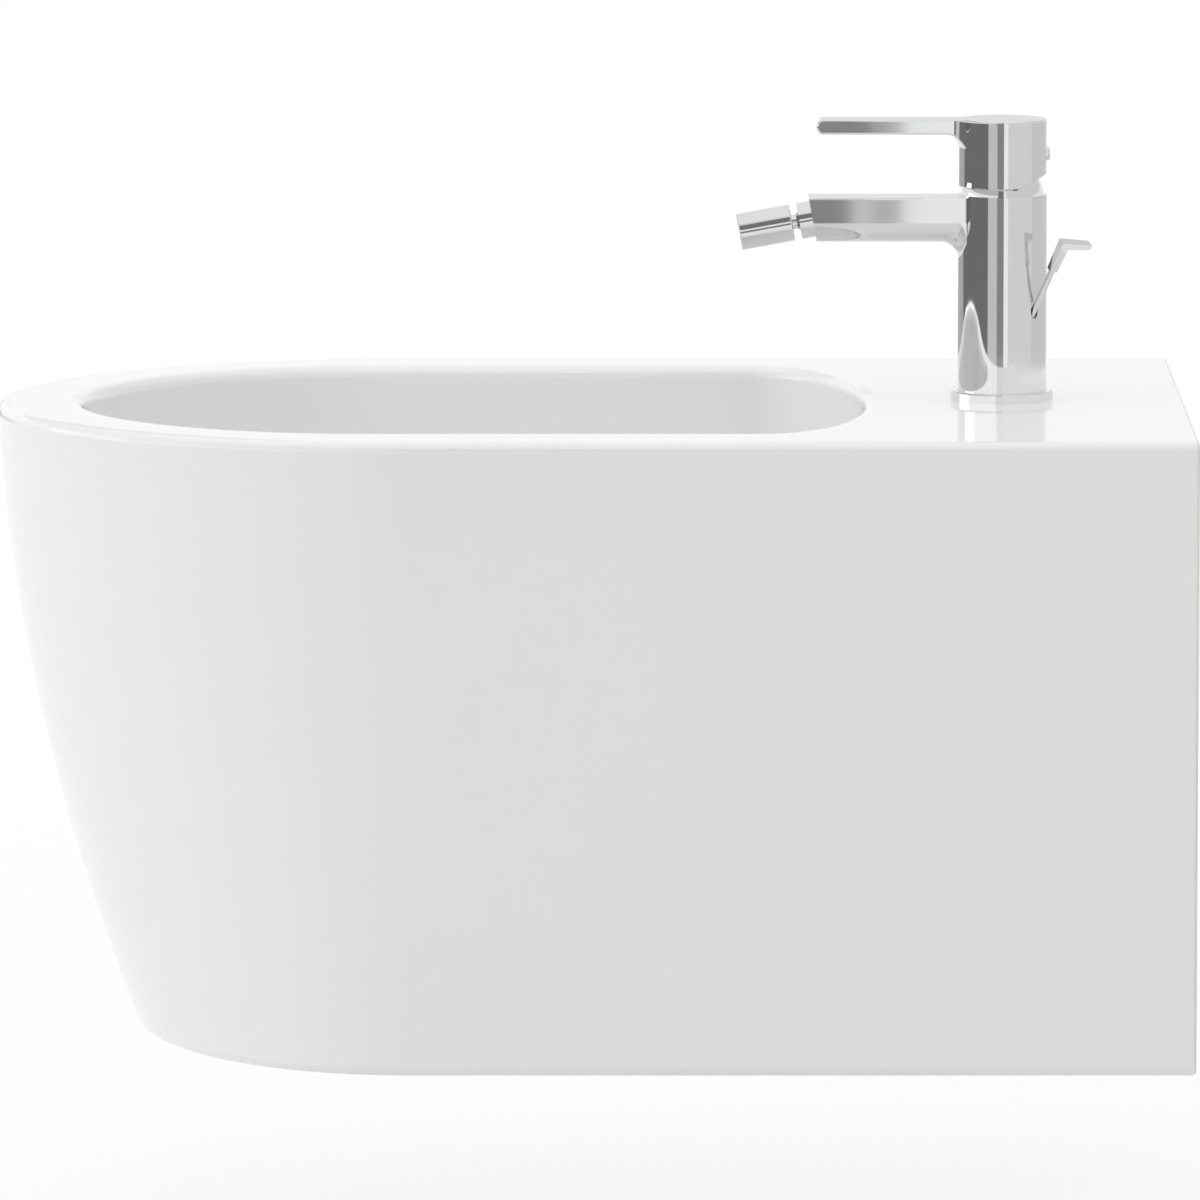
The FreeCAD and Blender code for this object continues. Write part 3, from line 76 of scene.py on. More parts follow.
def upright_axis(node, z):
    low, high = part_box(node)
    return Vector(((low.x + high.x) / 2, (low.y + high.y) / 2, z))


tap_axis = upright_axis("base_ring", rim_z)
drain_axis = upright_axis("waste_flange", 0)
print("rim at", round(rim_z, 4), "foot at", round(foot_z, 4))
print("tap at", tap_axis, "drain at", drain_axis)

# %% [markdown]
# ## The camera
# A long lens from far away flattens the view, as in the photograph, where the near and the far rim
# differ by only a few percent in size. The camera looks at the bowl's side from a little above the rim,
# so that the basin shows as a narrow oval. It could be placed by eye in the viewport. Here its distance
# and height follow from how far the far rim stands above the near one, so the view can be repeated.

# %% Place the camera
CAMERA_DISTANCE = 6.185
CAMERA_ABOVE_RIM = 0.6944
AIM_BELOW_RIM = 0.0977
VIEW_MIDDLE_Y = -0.2803
LENS = 388.0                # millimetres, on a sensor of the usual width
SENSOR_WIDTH = 36.0
VIEW_END = 100.0

scene = bpy.context.scene
camera_data = bpy.data.cameras.new("side_camera")
camera_data.sensor_width = SENSOR_WIDTH
camera_data.lens = LENS
camera_data.clip_end = VIEW_END
camera = bpy.data.objects.new("side_camera", camera_data)
scene.collection.objects.link(camera)
camera.location = (CAMERA_DISTANCE, VIEW_MIDDLE_Y, rim_z + CAMERA_ABOVE_RIM)
aim = Vector((0, VIEW_MIDDLE_Y, rim_z - AIM_BELOW_RIM))
camera.rotation_euler = (aim - camera.location).to_track_quat("-Z", "Y").to_euler()
scene.camera = camera
print("camera at", tuple(round(c, 3) for c in camera.location), "lens", LENS)

# %% [markdown]
# ## A white world that doesn't wash the china out
# The photograph has a white backdrop with no visible wall. A world of strength 1 would look right, but
# it would also light the china until its shading is gone. A Light Path node tells the two apart: rays
# from the camera, from a reflection or through glass see plain white, and all others get a weaker light.
# The small helpers below place one node each and hand back its output, because every material needs them.

# %% Tell seen rays from light rays


def larger(nodes, links, first, second):
    pick = nodes.new("ShaderNodeMath")
    pick.operation = "MAXIMUM"
    links.new(first, pick.inputs[0])
    links.new(second, pick.inputs[1])
    return pick.outputs[0]


def mixed_shader(nodes, links, share, first, second):
    mix = nodes.new("ShaderNodeMixShader")
    links.new(share, mix.inputs[0])
    links.new(first, mix.inputs[1])
    links.new(second, mix.inputs[2])
    return mix.outputs[0]


def seen_rays(nodes, links):
    # 1 for rays that come from the camera, from a reflection or through glass
    path = nodes.new("ShaderNodeLightPath")
    open_rays = larger(nodes, links, path.outputs["Is Camera Ray"], path.outputs["Is Glossy Ray"])
    return larger(nodes, links, open_rays, path.outputs["Is Transmission Ray"])


print("seen rays: camera, reflection and glass")

# %% Make the world
AMBIENT = 0.655             # strength of the world as a light
SEEN_WHITE = 1.0            # strength of the world where it is seen
WHITE = (1, 1, 1, 1)

scene.view_settings.view_transform = "Standard"
world = bpy.data.worlds.new("white_studio")
world.use_nodes = True
scene.world = world
world_nodes, world_links = world.node_tree.nodes, world.node_tree.links
world_nodes.clear()


def white_sky(strength):
    sky = world_nodes.new("ShaderNodeBackground")
    sky.inputs["Color"].default_value = WHITE
    sky.inputs["Strength"].default_value = strength
    return sky.outputs[0]


sky_mix = mixed_shader(world_nodes, world_links, seen_rays(world_nodes, world_links),
                       white_sky(AMBIENT), white_sky(SEEN_WHITE))
world_out = world_nodes.new("ShaderNodeOutputWorld")
world_links.new(sky_mix, world_out.inputs["Surface"])
print("world: white when seen,", AMBIENT, "as light")

# %% [markdown]
# ## The floor
# A bowl on the wall hangs well above the floor, and its soft shadow shows that it does. The floor could
# be a shadow catcher, but that needs a second picture behind it. Here a pale matte floor glows plain
# white to the rays that see it, a little less right under the bowl, where the shadow has to show.

# %% Mix the floor's paint
FLOOR_GREY = 0.90
SHADOW_NEAR = 0.5           # metres from the middle within which the shadow shows most
SHADOW_FAR = 1.6            # metres from the middle at which it has faded
GLOW_NEAR = 0.88            # share of plain white where the shadow shows most


def node_material(name):
    material = bpy.data.materials.new(name)
    material.use_nodes = True
    return material, material.node_tree.nodes, material.node_tree.links


def ramp(nodes, links, value, start, end, low=0.0, high=1.0):
    # Goes from low to high while the value goes from start to end, and is level outside
    climb = nodes.new("ShaderNodeMapRange")
    climb.inputs["From Min"].default_value = start
    climb.inputs["From Max"].default_value = end
    climb.inputs["To Min"].default_value = low
    climb.inputs["To Max"].default_value = high
    links.new(value, climb.inputs["Value"])
    return climb.outputs["Result"]


def floor_paint():
    material, nodes, links = node_material("floor_paint")
    nodes.clear()
    matte = nodes.new("ShaderNodeBsdfDiffuse")
    matte.inputs["Color"].default_value = (FLOOR_GREY, FLOOR_GREY, FLOOR_GREY, 1)
    glow = nodes.new("ShaderNodeEmission")
    glow.inputs["Color"].default_value = WHITE
    place = nodes.new("ShaderNodeTexCoord")
    away = nodes.new("ShaderNodeVectorMath")
    away.operation = "LENGTH"
    links.new(place.outputs["Object"], away.inputs[0])
    share = nodes.new("ShaderNodeMath")
    share.operation = "MULTIPLY"
    links.new(seen_rays(nodes, links), share.inputs[0])
    fade = ramp(nodes, links, away.outputs["Value"], SHADOW_NEAR, SHADOW_FAR, low=GLOW_NEAR)
    links.new(fade, share.inputs[1])
    out = nodes.new("ShaderNodeOutputMaterial")
    surface = mixed_shader(nodes, links, share.outputs[0], matte.outputs[0], glow.outputs[0])
    links.new(surface, out.inputs["Surface"])
    return material


floor_coat = floor_paint()
print("paint:", floor_coat.name)

# %% Lay the floor
FLOOR_BELOW = 0.10          # metres from the bowl's foot down to the floor
FLOOR_SIZE = 60.0
floor_z = foot_z - FLOOR_BELOW


def stage_mesh(name, shape, material):
    mesh = bpy.data.meshes.new(name)
    shape.to_mesh(mesh)
    shape.free()
    mesh.materials.append(material)
    piece = bpy.data.objects.new(name, mesh)
    scene.collection.objects.link(piece)
    return piece


floor_shape = bmesh.new()
bmesh.ops.create_grid(floor_shape, x_segments=1, y_segments=1, size=FLOOR_SIZE / 2)
bmesh.ops.translate(floor_shape, vec=(0, 0, floor_z), verts=floor_shape.verts)
stage_mesh("floor", floor_shape, floor_coat)
print("floor at", round(floor_z, 3))

# %% [markdown]
# ## The lamps
# Soft light comes from wide lamps: one hangs overhead and one stands in front of the nose, so the rim
# is the lightest part and the side the darkest. A glossy surface would mirror the lamps as hard white
# patches on top of the white world. They are hidden from reflections for that reason, and the cards of
# the next steps give the highlights.

# %% Hang the lamps
LAMPS = {
    # place, length of its sides, watts
    "overhead_lamp": ((0.3, -0.4, 2.4), 2.4, 20),
    "front_lamp": ((0.45, -3.1, 0.9), 1.8, 16),
}
cad_low, cad_high = Vector(cad_box[0]), Vector(cad_box[1])
lit_place = Vector(((cad_low.x + cad_high.x) / 2, (cad_low.y + cad_high.y) / 2, rim_z))


def soft_lamp(name, place, side, watts):
    lamp = bpy.data.lights.new(name, "AREA")
    lamp.shape = "SQUARE"
    lamp.size = side
    lamp.energy = watts
    holder = bpy.data.objects.new(name, lamp)
    scene.collection.objects.link(holder)
    holder.location = place
    holder.rotation_euler = (lit_place - Vector(place)).to_track_quat("-Z", "Y").to_euler()
    holder.visible_glossy = False
    print(name, "at", place, watts, "W")


for lamp_name, (lamp_place, lamp_side, lamp_watts) in LAMPS.items():
    soft_lamp(lamp_name, lamp_place, lamp_side, lamp_watts)

# %% [markdown]
# ## Grey cards for the chrome
# Chrome has almost no colour of its own: in an all-white room it turns into white plastic. Studios stand
# grey cards round a tap, out of the picture, and their reflections draw the stripes that make metal look
# like metal. Painting stripes on the chrome would be simpler, but they would stay put when the camera or
# the lever moves. A card is one upright edge that is spun round the tap. It only shows in reflections,
# so it takes no light from the china.

# %% Cut a card
CARD_DISTANCE = 2.5         # metres from the tap
EDGE_STEP = 3.0             # degrees between the upright edges of a curved card
UP = Vector((0, 0, 1))


def card_paint(name, grey):
    material, nodes, links = node_material(name + "_paint")
    nodes.clear()
    glow = nodes.new("ShaderNodeEmission")
    glow.inputs["Color"].default_value = (grey, grey, grey, 1)
    out = nodes.new("ShaderNodeOutputMaterial")
    links.new(glow.outputs[0], out.inputs["Surface"])
    return material


def spun_card(name, grey, ends, start, end):
    # The two ends of one edge, turned from a start to an end bearing. Bearings are in degrees from +x,
    # where the camera stands, towards the wall.
    shape = bmesh.new()
    corners = [shape.verts.new(tap_axis + point) for point in ends]
    edge = shape.edges.new(corners)
    bmesh.ops.rotate(shape, cent=tap_axis, matrix=Matrix.Rotation(math.radians(start), 3, UP), verts=corners)
    bmesh.ops.spin(shape, geom=corners + [edge], cent=tap_axis, axis=UP, angle=math.radians(end - start),
                   steps=max(1, round((end - start) / EDGE_STEP)))
    card = stage_mesh(name, shape, card_paint(name, grey))
    card.visible_camera = False
    card.visible_diffuse = False
    card.visible_shadow = False
    card.visible_transmission = False


def grey_card(name, start, end, grey, low, high, distance=CARD_DISTANCE):
    ends = [Vector((distance, 0, z - rim_z)) for z in (low, high)]
    spun_card(name, grey, ends, start, end)


print("cards stand", CARD_DISTANCE, "m from the tap")

# %% [markdown]
# ## The low band
# From this camera the tap's upright sides mirror what stands a little below the horizon, so the cards
# form a low band round the tap, from a dark front to a light wall side. The band is too high for the
# bowl's side to mirror it. A narrow strip in front of it puts the small gleam on the spout's side.

# %% Stand the low band
BAND_LOW = -0.168
BAND_HIGH = 0.05
BAND = {
    # bearings of its two ends, grey
    "corner_card": (-165, -122, 0.50),
    "front_card": (-122, -39.5, 0.19),
    "bright_strip": (-39.5, -15.5, 0.67),
    "dark_strip": (-15.5, -0.25, 0.30),
    "edge_strip": (-0.25, 0.22, 0.50),
    "white_strip": (0.22, 13, 1.08),
    "side_card": (13, 80, 0.82),
    "wall_card": (80, 165, 0.73),
}
GLINT = (-0.57, -0.20, 0.75, -0.087, -0.036)
GLINT_NEARER = 0.01         # how far the strip stands in front of the band

for card_name, (card_start, card_end, card_grey) in BAND.items():
    grey_card(card_name, card_start, card_end, card_grey, BAND_LOW, BAND_HIGH)
grey_card("glint_strip", *GLINT, distance=CARD_DISTANCE - GLINT_NEARER)
print("band:", ", ".join(BAND), "and glint_strip")

# %% [markdown]
# ## The higher cards
# Faces that look up mirror what stands higher: the flat tops see a card far behind the tap, the dome
# under the lever sees soft light in front with grey above it, and the glossy deck shows the tap's image.
# Each of these cards is there for one of those faces.

# %% Stand the higher cards
HIGHER_CARDS = {
    # bearings of its two ends, grey, heights of its two edges
    "step_card": (-14, -0.25, 0.22, BAND_HIGH, 0.30),
    "tall_card": (-14, -0.25, 0.22, 0.75, 2.4),
    "rear_card": (160, 200, 0.82, 0.425, 0.52),
    "soft_card": (-80, -15, 1.28, 0.30, 0.75),
    "lamp_card": (-111, -80, 1.9, 0.30, 0.70),
    "high_card": (10, 170, 0.78, 0.60, 3.0),
    "front_high_card": (-166, -14, 0.58, 1.0, 3.0),
}
for card_name, card in HIGHER_CARDS.items():
    grey_card(card_name, *card)
print("higher cards:", ", ".join(HIGHER_CARDS))

# %% [markdown]
# ## Cards on the floor
# Seen from above and from behind, the tap's upright sides mirror the floor near the wall. Two flat dark
# cards lie there, so that the chrome keeps its stripes in those views too. A dark floor would do the
# same, but would spoil the white of the picture.

# %% Lay the cards on the floor
FLOOR_CARD_NEAR = 0.7       # metres from the tap's axis
FLOOR_CARD_FAR = 2.4
FLOOR_CARD_LIFT = 0.002
FLOOR_CARD_GREY = 0.25
FLOOR_CARDS = {
    # bearings of its two ends
    "back_floor_card": (112, 150),
    "right_floor_card": (30, 68),
}
floor_card_z = floor_z + FLOOR_CARD_LIFT - rim_z
floor_card_ends = [Vector((reach, 0, floor_card_z)) for reach in (FLOOR_CARD_NEAR, FLOOR_CARD_FAR)]
for card_name, (card_start, card_end) in FLOOR_CARDS.items():
    spun_card(card_name, FLOOR_CARD_GREY, floor_card_ends, card_start, card_end)
print("floor cards:", ", ".join(FLOOR_CARDS))

# %% [markdown]
# ## Mottle, the first shared effect
# Real surfaces are never one flat colour. A mottle runs between two colours and between two roughnesses,
# both by the same noise. Each material could hold its own noise nodes. As a node group it is built once
# and placed in each material with its own values.

# %% Build the mottle
MOTTLE_DETAIL = 3.0


def shared_effect(name, inputs, outputs):
    # inputs and outputs: the sockets' names with their kinds
    group = bpy.data.node_groups.new(name, "ShaderNodeTree")
    for direction, sockets in (("INPUT", inputs), ("OUTPUT", outputs)):
        for socket, kind in sockets.items():
            group.interface.new_socket(socket, in_out=direction, socket_type="NodeSocket" + kind)
    return group, group.nodes.new("NodeGroupInput"), group.nodes.new("NodeGroupOutput")


def noise_in(group, coordinates, scale, detail):
    noise = group.nodes.new("ShaderNodeTexNoise")
    noise.inputs["Detail"].default_value = detail
    group.links.new(coordinates, noise.inputs["Vector"])
    group.links.new(scale, noise.inputs["Scale"])
    return noise.outputs["Fac"]


def mottle_group():
    inputs = {"First": "Color", "Second": "Color", "Scale": "Float", "Low": "Float", "High": "Float"}
    group, given, made = shared_effect("mottle", inputs, {"Color": "Color", "Value": "Float"})
    nodes, links = group.nodes, group.links
    place = nodes.new("ShaderNodeTexCoord")
    fac = noise_in(group, place.outputs["Object"], given.outputs["Scale"], MOTTLE_DETAIL)
    mix = nodes.new("ShaderNodeMix")
    mix.data_type = "RGBA"
    links.new(fac, mix.inputs["Factor"])
    links.new(given.outputs["First"], mix.inputs["A"])
    links.new(given.outputs["Second"], mix.inputs["B"])
    links.new(mix.outputs["Result"], made.inputs["Color"])
    spread = nodes.new("ShaderNodeMapRange")
    links.new(fac, spread.inputs["Value"])
    links.new(given.outputs["Low"], spread.inputs["To Min"])
    links.new(given.outputs["High"], spread.inputs["To Max"])
    links.new(spread.outputs["Result"], made.inputs["Value"])
    return group


MOTTLE = mottle_group()
print("group:", MOTTLE.name)

# %% [markdown]
# ## Ripple, the second shared effect
# Turned and drawn metal has fine lines along the tool's path, and rubber a fine grain. Both are far too
# small to model, so a stretched noise gives a height for the normals alone.

# %% Build the ripple
RIPPLE_DETAIL = 2.0


def ripple_group():
    group, given, made = shared_effect("ripple", {"Scale": "Float", "Stretch": "Vector"}, {"Height": "Float"})
    place = group.nodes.new("ShaderNodeTexCoord")
    stretch = group.nodes.new("ShaderNodeVectorMath")
    stretch.operation = "MULTIPLY"
    group.links.new(place.outputs["Object"], stretch.inputs[0])
    group.links.new(given.outputs["Stretch"], stretch.inputs[1])
    fac = noise_in(group, stretch.outputs[0], given.outputs["Scale"], RIPPLE_DETAIL)
    group.links.new(fac, made.inputs["Height"])
    return group


RIPPLE = ripple_group()
print("group:", RIPPLE.name)

# %% [markdown]
# ## How a finish is put together
# Every finish is one Principled shader. The mottle gives its colour and roughness, and a ripple may
# bend its normals. What is the same all over a surface, such as how metallic it is, goes straight on the
# shader. One function for all of them keeps the finishes alike and easy to compare.

# %% Define a finish


def placed_mottle(nodes, colours, scale, roughness):
    mottle = nodes.new("ShaderNodeGroup")
    mottle.node_tree = MOTTLE
    mottle.inputs["First"].default_value = (*colours[0], 1)
    mottle.inputs["Second"].default_value = (*colours[1], 1)
    mottle.inputs["Scale"].default_value = scale
    mottle.inputs["Low"].default_value = roughness[0]
    mottle.inputs["High"].default_value = roughness[1]
    return mottle


def placed_ripple(nodes, links, scale, stretch, strength, depth):
    wave = nodes.new("ShaderNodeGroup")
    wave.node_tree = RIPPLE
    wave.inputs["Scale"].default_value = scale
    wave.inputs["Stretch"].default_value = stretch
    bump = nodes.new("ShaderNodeBump")
    bump.inputs["Strength"].default_value = strength
    bump.inputs["Distance"].default_value = depth
    links.new(wave.outputs["Height"], bump.inputs["Height"])
    return bump.outputs["Normal"]


def finish(name, colours, scale, roughness, metallic=0.0, ripple=None):
    material, nodes, links = node_material(name)
    shader = nodes["Principled BSDF"]
    shader.inputs["Metallic"].default_value = metallic
    mottle = placed_mottle(nodes, colours, scale, roughness)
    links.new(mottle.outputs["Color"], shader.inputs["Base Color"])
    links.new(mottle.outputs["Value"], shader.inputs["Roughness"])
    if ripple:
        links.new(placed_ripple(nodes, links, *ripple), shader.inputs["Normal"])
    return material


print("a finish has two colours, a scale, two roughnesses and maybe a ripple")

# %% [markdown]
# ## Metal finishes
# The tap and the waste are plated brass: polished chrome outside, and turned brass on the stud and the
# nuts, where no one looks. Rods, pins and clips of drawn steel are duller. Chrome stays smooth without a
# ripple, since its reflections would show the slightest wave.

# %% Mix the metals
RIPPLE_DEPTH = 0.0002
finishes = {
    "chrome": finish("polished_chrome", ((0.71, 0.715, 0.72), (0.74, 0.745, 0.75)), 60, (0.02, 0.05),
                     metallic=1.0),
    "brass": finish("turned_brass", ((0.62, 0.46, 0.20), (0.72, 0.56, 0.28)), 90, (0.22, 0.36),
                    metallic=1.0, ripple=(900, (1, 1, 6), 0.15, RIPPLE_DEPTH)),
    "steel": finish("drawn_steel", ((0.52, 0.53, 0.54), (0.62, 0.63, 0.64)), 80, (0.22, 0.34),
                    metallic=1.0, ripple=(700, (1, 1, 8), 0.12, RIPPLE_DEPTH)),
}
print("metals:", ", ".join(finishes))

# %% [markdown]
# ## Rubber, plastics and the valve's discs
# Seals are black rubber with a grain. Sleeves, bushes and the cartridge round the valve are moulded
# plastics, and the two discs that let the water through are hard ceramic, lapped until they seal on each
# other. They are hidden in use, but show when the part is taken apart, so each gets a true colour.

# %% Mix the other finishes
finishes.update({
    "disc": finish("lapped_ceramic", ((0.86, 0.85, 0.82), (0.90, 0.89, 0.86)), 120, (0.14, 0.22)),
    "black_rubber": finish("black_rubber", ((0.018, 0.018, 0.018), (0.035, 0.035, 0.035)), 150, (0.55, 0.75),
                           ripple=(1200, (1, 1, 1), 0.2, RIPPLE_DEPTH)),
    "grey_plastic": finish("grey_plastic", ((0.36, 0.37, 0.38), (0.42, 0.43, 0.44)), 140, (0.38, 0.5)),
    "white_plastic": finish("white_plastic", ((0.78, 0.78, 0.77), (0.83, 0.83, 0.82)), 140, (0.35, 0.48)),
    "dark_plastic": finish("dark_plastic", ((0.03, 0.03, 0.032), (0.05, 0.05, 0.052)), 140, (0.36, 0.5)),
})
print("finishes:", ", ".join(finishes))

# %% [markdown]
# ## Where the china is bare
# Sanitary china is white clay under a thick clear glaze. The glaze is sprayed where it will be seen. The
# face against the wall, the foot's underside and the hidden hollow stay bare, because a glazed face
# would stick to the kiln shelf. Two materials would need cut faces, so one material mixes both by a
# mask: the place against the wall, and whether the surface faces down, towards the drain or away from it.

# %% Mask the bare clay
WALL_EDGE = 0.0012          # depth of the bare edge against the wall
DOWN = (-0.93, -0.98)       # how far a normal points down, from glazed to bare
TURNED = (0.004, 0.008)     # how far a surface is turned from the drain, from glazed to bare


def away_from_drain(nodes, links, place, normal):
    # Positive where the surface faces away from the drain's axis, negative where it faces the axis
    outward = nodes.new("ShaderNodeVectorMath")
    outward.operation = "SUBTRACT"
    links.new(place, outward.inputs[0])
    outward.inputs[1].default_value = drain_axis
    level = nodes.new("ShaderNodeVectorMath")
    level.operation = "MULTIPLY"
    links.new(outward.outputs[0], level.inputs[0])
    level.inputs[1].default_value = (1, 1, 0)
    side = nodes.new("ShaderNodeVectorMath")
    side.operation = "DOT_PRODUCT"
    links.new(level.outputs[0], side.inputs[0])
    links.new(normal, side.inputs[1])
    return side.outputs["Value"]


def bare_mask(nodes, links, hidden_side):
    # hidden_side: 1 where the surface away from the drain is hidden, -1 where the inner one is, or 0
    place = nodes.new("ShaderNodeTexCoord").outputs["Object"]
    normal = nodes.new("ShaderNodeNewGeometry").outputs["Normal"]
    spot = nodes.new("ShaderNodeSeparateXYZ")
    links.new(place, spot.inputs[0])
    facing = nodes.new("ShaderNodeSeparateXYZ")
    links.new(normal, facing.inputs[0])
    at_wall = ramp(nodes, links, spot.outputs["Y"], -WALL_EDGE, -WALL_EDGE / 2)
    below = ramp(nodes, links, facing.outputs["Z"], *DOWN)
    mask = larger(nodes, links, at_wall, below)
    if hidden_side:
        turned = away_from_drain(nodes, links, place, normal)
        hidden = ramp(nodes, links, turned, TURNED[0] * hidden_side, TURNED[1] * hidden_side)
        mask = larger(nodes, links, mask, hidden)
    return mask


print("bare within", WALL_EDGE, "m of the wall, underneath and on hidden sides")

# %% [markdown]
# ## The glaze
# The glaze is a clear layer over the white clay, so the shader gets a coat, and the mask takes the coat
# off where the clay is bare. The glaze's mottle is broad and faint, as its thickness varies over a
# hand's width. Bare clay is rough, a little yellow and finely grained.

# %% Glaze the china
GLAZE = ((0.88, 0.88, 0.875), (0.90, 0.90, 0.895))
GLAZE_SCALE = 9
GLAZE_ROUGHNESS = (0.10, 0.14)
GLAZE_IOR = 1.5
BARE = ((0.77, 0.745, 0.695), (0.83, 0.81, 0.765))
BARE_SCALE = 220
BARE_ROUGHNESS = (0.78, 1.0)
COAT = 0.6
COAT_ROUGHNESS = 0.03


def china(name, hidden_side):
    material, nodes, links = node_material(name)
    shader = nodes["Principled BSDF"]
    shader.inputs["IOR"].default_value = GLAZE_IOR
    shader.inputs["Coat Roughness"].default_value = COAT_ROUGHNESS
    glazed = placed_mottle(nodes, GLAZE, GLAZE_SCALE, GLAZE_ROUGHNESS)
    bare = placed_mottle(nodes, BARE, BARE_SCALE, BARE_ROUGHNESS)
    mask = bare_mask(nodes, links, hidden_side)
    for kind, output, socket in (("RGBA", "Color", "Base Color"), ("FLOAT", "Value", "Roughness")):
        mix = nodes.new("ShaderNodeMix")
        mix.data_type = kind
        links.new(mask, mix.inputs["Factor"])
        links.new(glazed.outputs[output], mix.inputs["A"])
        links.new(bare.outputs[output], mix.inputs["B"])
        links.new(mix.outputs["Result"], shader.inputs[socket])
    links.new(ramp(nodes, links, mask, 0.0, 1.0, low=COAT, high=0.0), shader.inputs["Coat Weight"])
    return material


china_of = {
    "ceramic_rim": china("rim_china", 0),
    "ceramic_bowl": china("bowl_china", 1),
    "ceramic_skirt": china("skirt_china", -1),
}
print("china:", ", ".join(china_of))

# %% [markdown]
# ## Dressing the solids
# The part's record says what each solid is made of. Finishes could be given piece by piece. Reading the
# record keeps both in step, and only the three castings need a china of their own, because each hides
# another side.

# %% Dress the solids
slot_of = {part["node"]: part["material_slot"] for part in frame["record"]["subparts"]}
for node, solid in frame["nodes"].items():
    for slot in solid.material_slots:
        slot.material = china_of[node] if node in china_of else finishes[slot_of[node]]
print("dressed", len(slot_of), "solids")

# %% [markdown]
# ## Finishing a new piece
# The small pieces that follow are modelled here. Each one is cleaned in the same way: double corners are
# merged, the normals are turned outwards, and the count of open edges shows whether it is closed. Then
# it rides on the body that it belongs to, so it moves with that body's joint.

# %% Define the finishing
MERGE_DISTANCE = 1e-7


def finished_piece(name, shape, body, slot):
    bmesh.ops.remove_doubles(shape, verts=shape.verts[:], dist=MERGE_DISTANCE)
    bmesh.ops.recalc_face_normals(shape, faces=shape.faces[:])
    open_edges = sum(not edge.is_manifold for edge in shape.edges)
    mesh = bpy.data.meshes.new(name)
    shape.to_mesh(mesh)
    shape.free()
    mesh.materials.append(finishes[slot])
    piece = bpy.data.objects.new(name, mesh)
    scene.collection.objects.link(piece)
    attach(piece, body)
    print(name, len(mesh.polygons), "faces", open_edges, "open edges")


print("new pieces are merged within", MERGE_DISTANCE, "m")

# %% [markdown]
# ## Threads
# The stud under the deck, the waste's pipe and its can are threaded where their nuts run. The solids are
# plain cylinders at the thread's mean size, because a true thread would only burden the motion model. A
# thread is one small ridge that climbs as it turns. A Screw modifier could wind it. Here a closed
# profile is spun round the axis and lifted a little at every step, which leaves a plain closed mesh.

# %% Define a thread
THREAD_STEPS = 28           # steps of one turn
RIDGE_SUNK = 0.0001         # how far the ridge's foot lies inside the cylinder
RIDGE_FOOT = 0.42           # half the width of the ridge's foot, as a share of the pitch
RIDGE_CREST = 0.10          # half the width of its crest
RIDGE_HEIGHT = 0.30


def wound_thread(name, body, slot, axis, radius, low, high, pitch):
    shape = bmesh.new()
    foot, crest, height = pitch * RIDGE_FOOT, pitch * RIDGE_CREST, pitch * RIDGE_HEIGHT
    start = Vector((axis.x + radius, axis.y, low + foot))
    ridge = [(-RIDGE_SUNK, -foot), (height, -crest), (height, crest), (-RIDGE_SUNK, foot)]
    shape.faces.new([shape.verts.new(start + Vector((out, 0, up))) for out, up in ridge])
    turns = (high - low - 2 * foot) / pitch
    steps = math.ceil(turns * THREAD_STEPS)
    profile = shape.verts[:] + shape.edges[:] + shape.faces[:]
    bmesh.ops.spin(shape, geom=profile, cent=axis, axis=UP, dvec=UP * (turns * pitch / steps),
                   angle=math.tau * turns, steps=steps)
    finished_piece(name, shape, body, slot)


print("one turn of thread has", THREAD_STEPS, "steps")

# %% Wind the threads
STUD_PITCH = 0.001
STUD_TIP = 0.0008           # plain length at the stud's lower end
PIPE_R = 0.0208
PIPE_PITCH = 0.0012
CAN_THREAD = 0.006          # length of thread above the can's nut
CAN_PITCH = 0.0015

stud_low, stud_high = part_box("fixing_stud")
stud_nut_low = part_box("fixing_nut")[0]
pipe_nut_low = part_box("waste_nut")[0]
can_low, can_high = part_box("waste_body")
tail_nut_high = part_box("tail_nut")[1]

wound_thread("stud_thread", "fixed", "brass", upright_axis("fixing_stud", 0),
             (stud_high.x - stud_low.x) / 2, stud_low.z + STUD_TIP, stud_nut_low.z, STUD_PITCH)
wound_thread("pipe_thread", "fixed", "chrome", drain_axis,
             PIPE_R, can_high.z, pipe_nut_low.z, PIPE_PITCH)
wound_thread("can_thread", "fixed", "chrome", drain_axis,
             (can_high.x - can_low.x) / 2, tail_nut_high.z, tail_nut_high.z + CAN_THREAD, CAN_PITCH)

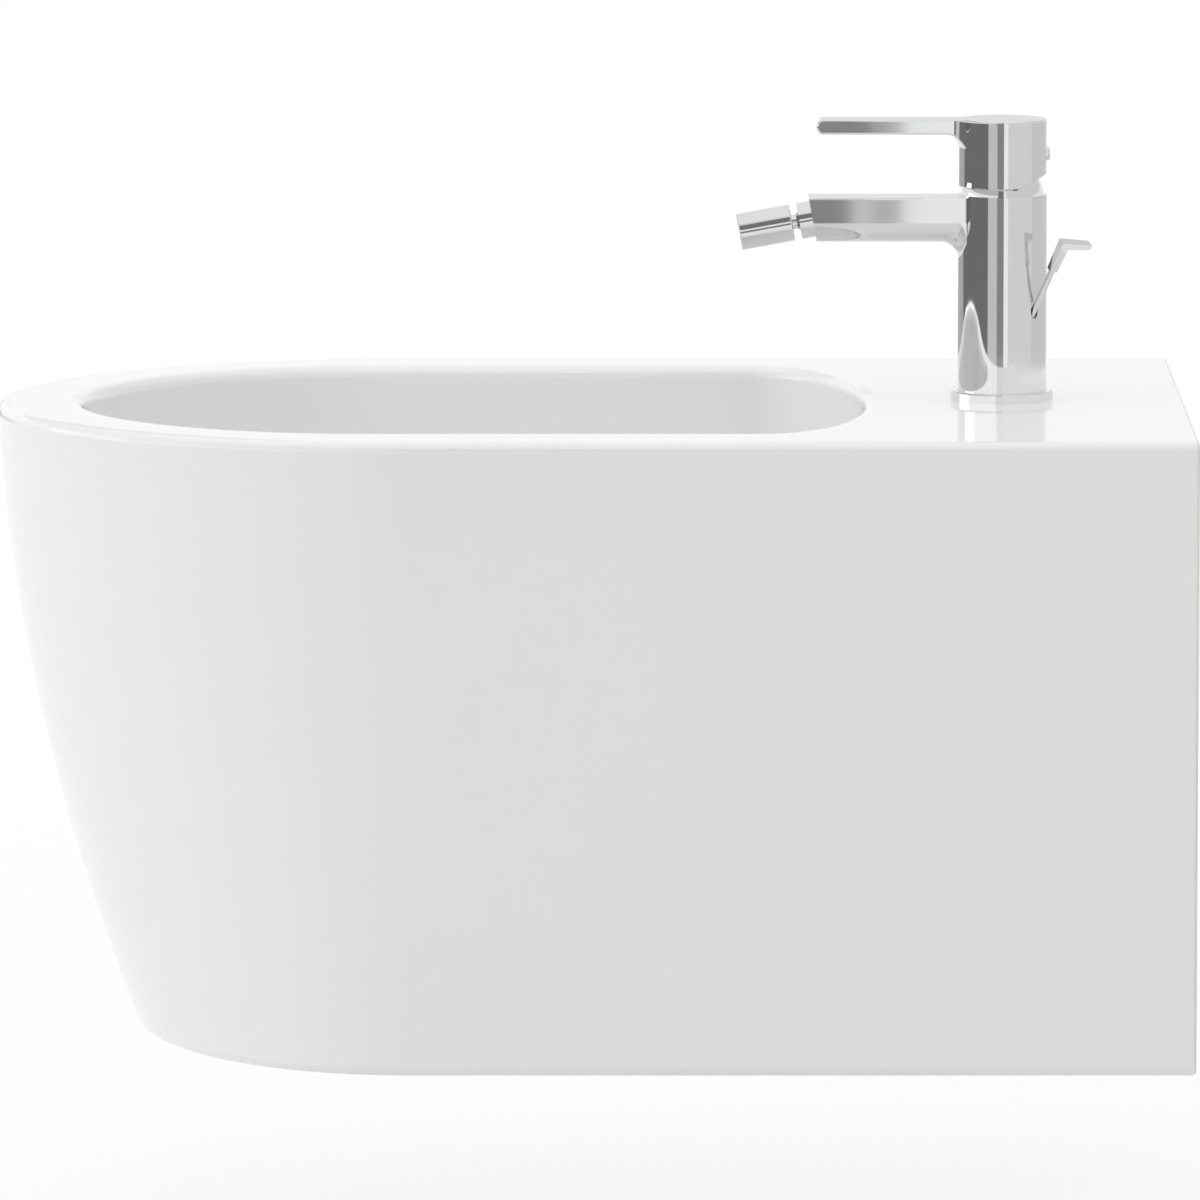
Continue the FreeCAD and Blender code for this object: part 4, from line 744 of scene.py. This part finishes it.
# %% [markdown]
# ## The thumb screw's knurl
# The strap hangs on the lift rod by a small screw that is tightened with two fingers, so its head is
# knurled. The ribs could be a bump in the material, but they show in the outline. A disc with every
# second corner pulled outwards gives the ribs when it is extruded, and a fine bevel breaks its two ends.

# %% Cut the ribs
KNURL_RIBS = 26
KNURL_FOOT = 1.005          # rib feet, as a share of the head's radius
KNURL_REACH = 1.09          # rib tops, as a share of the feet
KNURL_MARGIN = 0.0004       # plain length at both ends of the head
HEAD_LENGTH = 0.004

screw_low, screw_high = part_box("clevis_screw")
head_r = (screw_high.x - screw_low.x) / 2
knurl_length = HEAD_LENGTH - 2 * KNURL_MARGIN
knurl = bmesh.new()
disc = bmesh.ops.create_circle(knurl, cap_ends=True, radius=head_r * KNURL_FOOT, segments=2 * KNURL_RIBS)
bmesh.ops.scale(knurl, vec=(KNURL_REACH, KNURL_REACH, 1), verts=disc["verts"][::2])
drawn = bmesh.ops.extrude_face_region(knurl, geom=knurl.faces[:])
drawn_verts = [item for item in drawn["geom"] if isinstance(item, bmesh.types.BMVert)]
bmesh.ops.translate(knurl, vec=UP * knurl_length, verts=drawn_verts)
print(KNURL_RIBS, "ribs,", round(knurl_length * 1000, 2), "mm long")

# %% Break the ends and set the knurl on its screw
KNURL_BREAK = 0.00012


def level_edge(edge):
    return abs(edge.verts[0].co.z - edge.verts[1].co.z) < knurl_length / 2


bmesh.ops.bevel(knurl, geom=[edge for edge in knurl.edges if level_edge(edge)], offset=KNURL_BREAK,
                offset_type="OFFSET", segments=1, profile=0.5, affect="EDGES", material=-1)
lying = Matrix.Rotation(math.radians(90), 3, "X")
bmesh.ops.rotate(knurl, cent=(0, 0, 0), matrix=lying, verts=knurl.verts[:])
head_back = Vector(((screw_low.x + screw_high.x) / 2, screw_low.y + HEAD_LENGTH - KNURL_MARGIN,
                    (screw_low.z + screw_high.z) / 2))
bmesh.ops.translate(knurl, vec=head_back, verts=knurl.verts[:])
finished_piece("screw_knurl", knurl, "lifter", "brass")
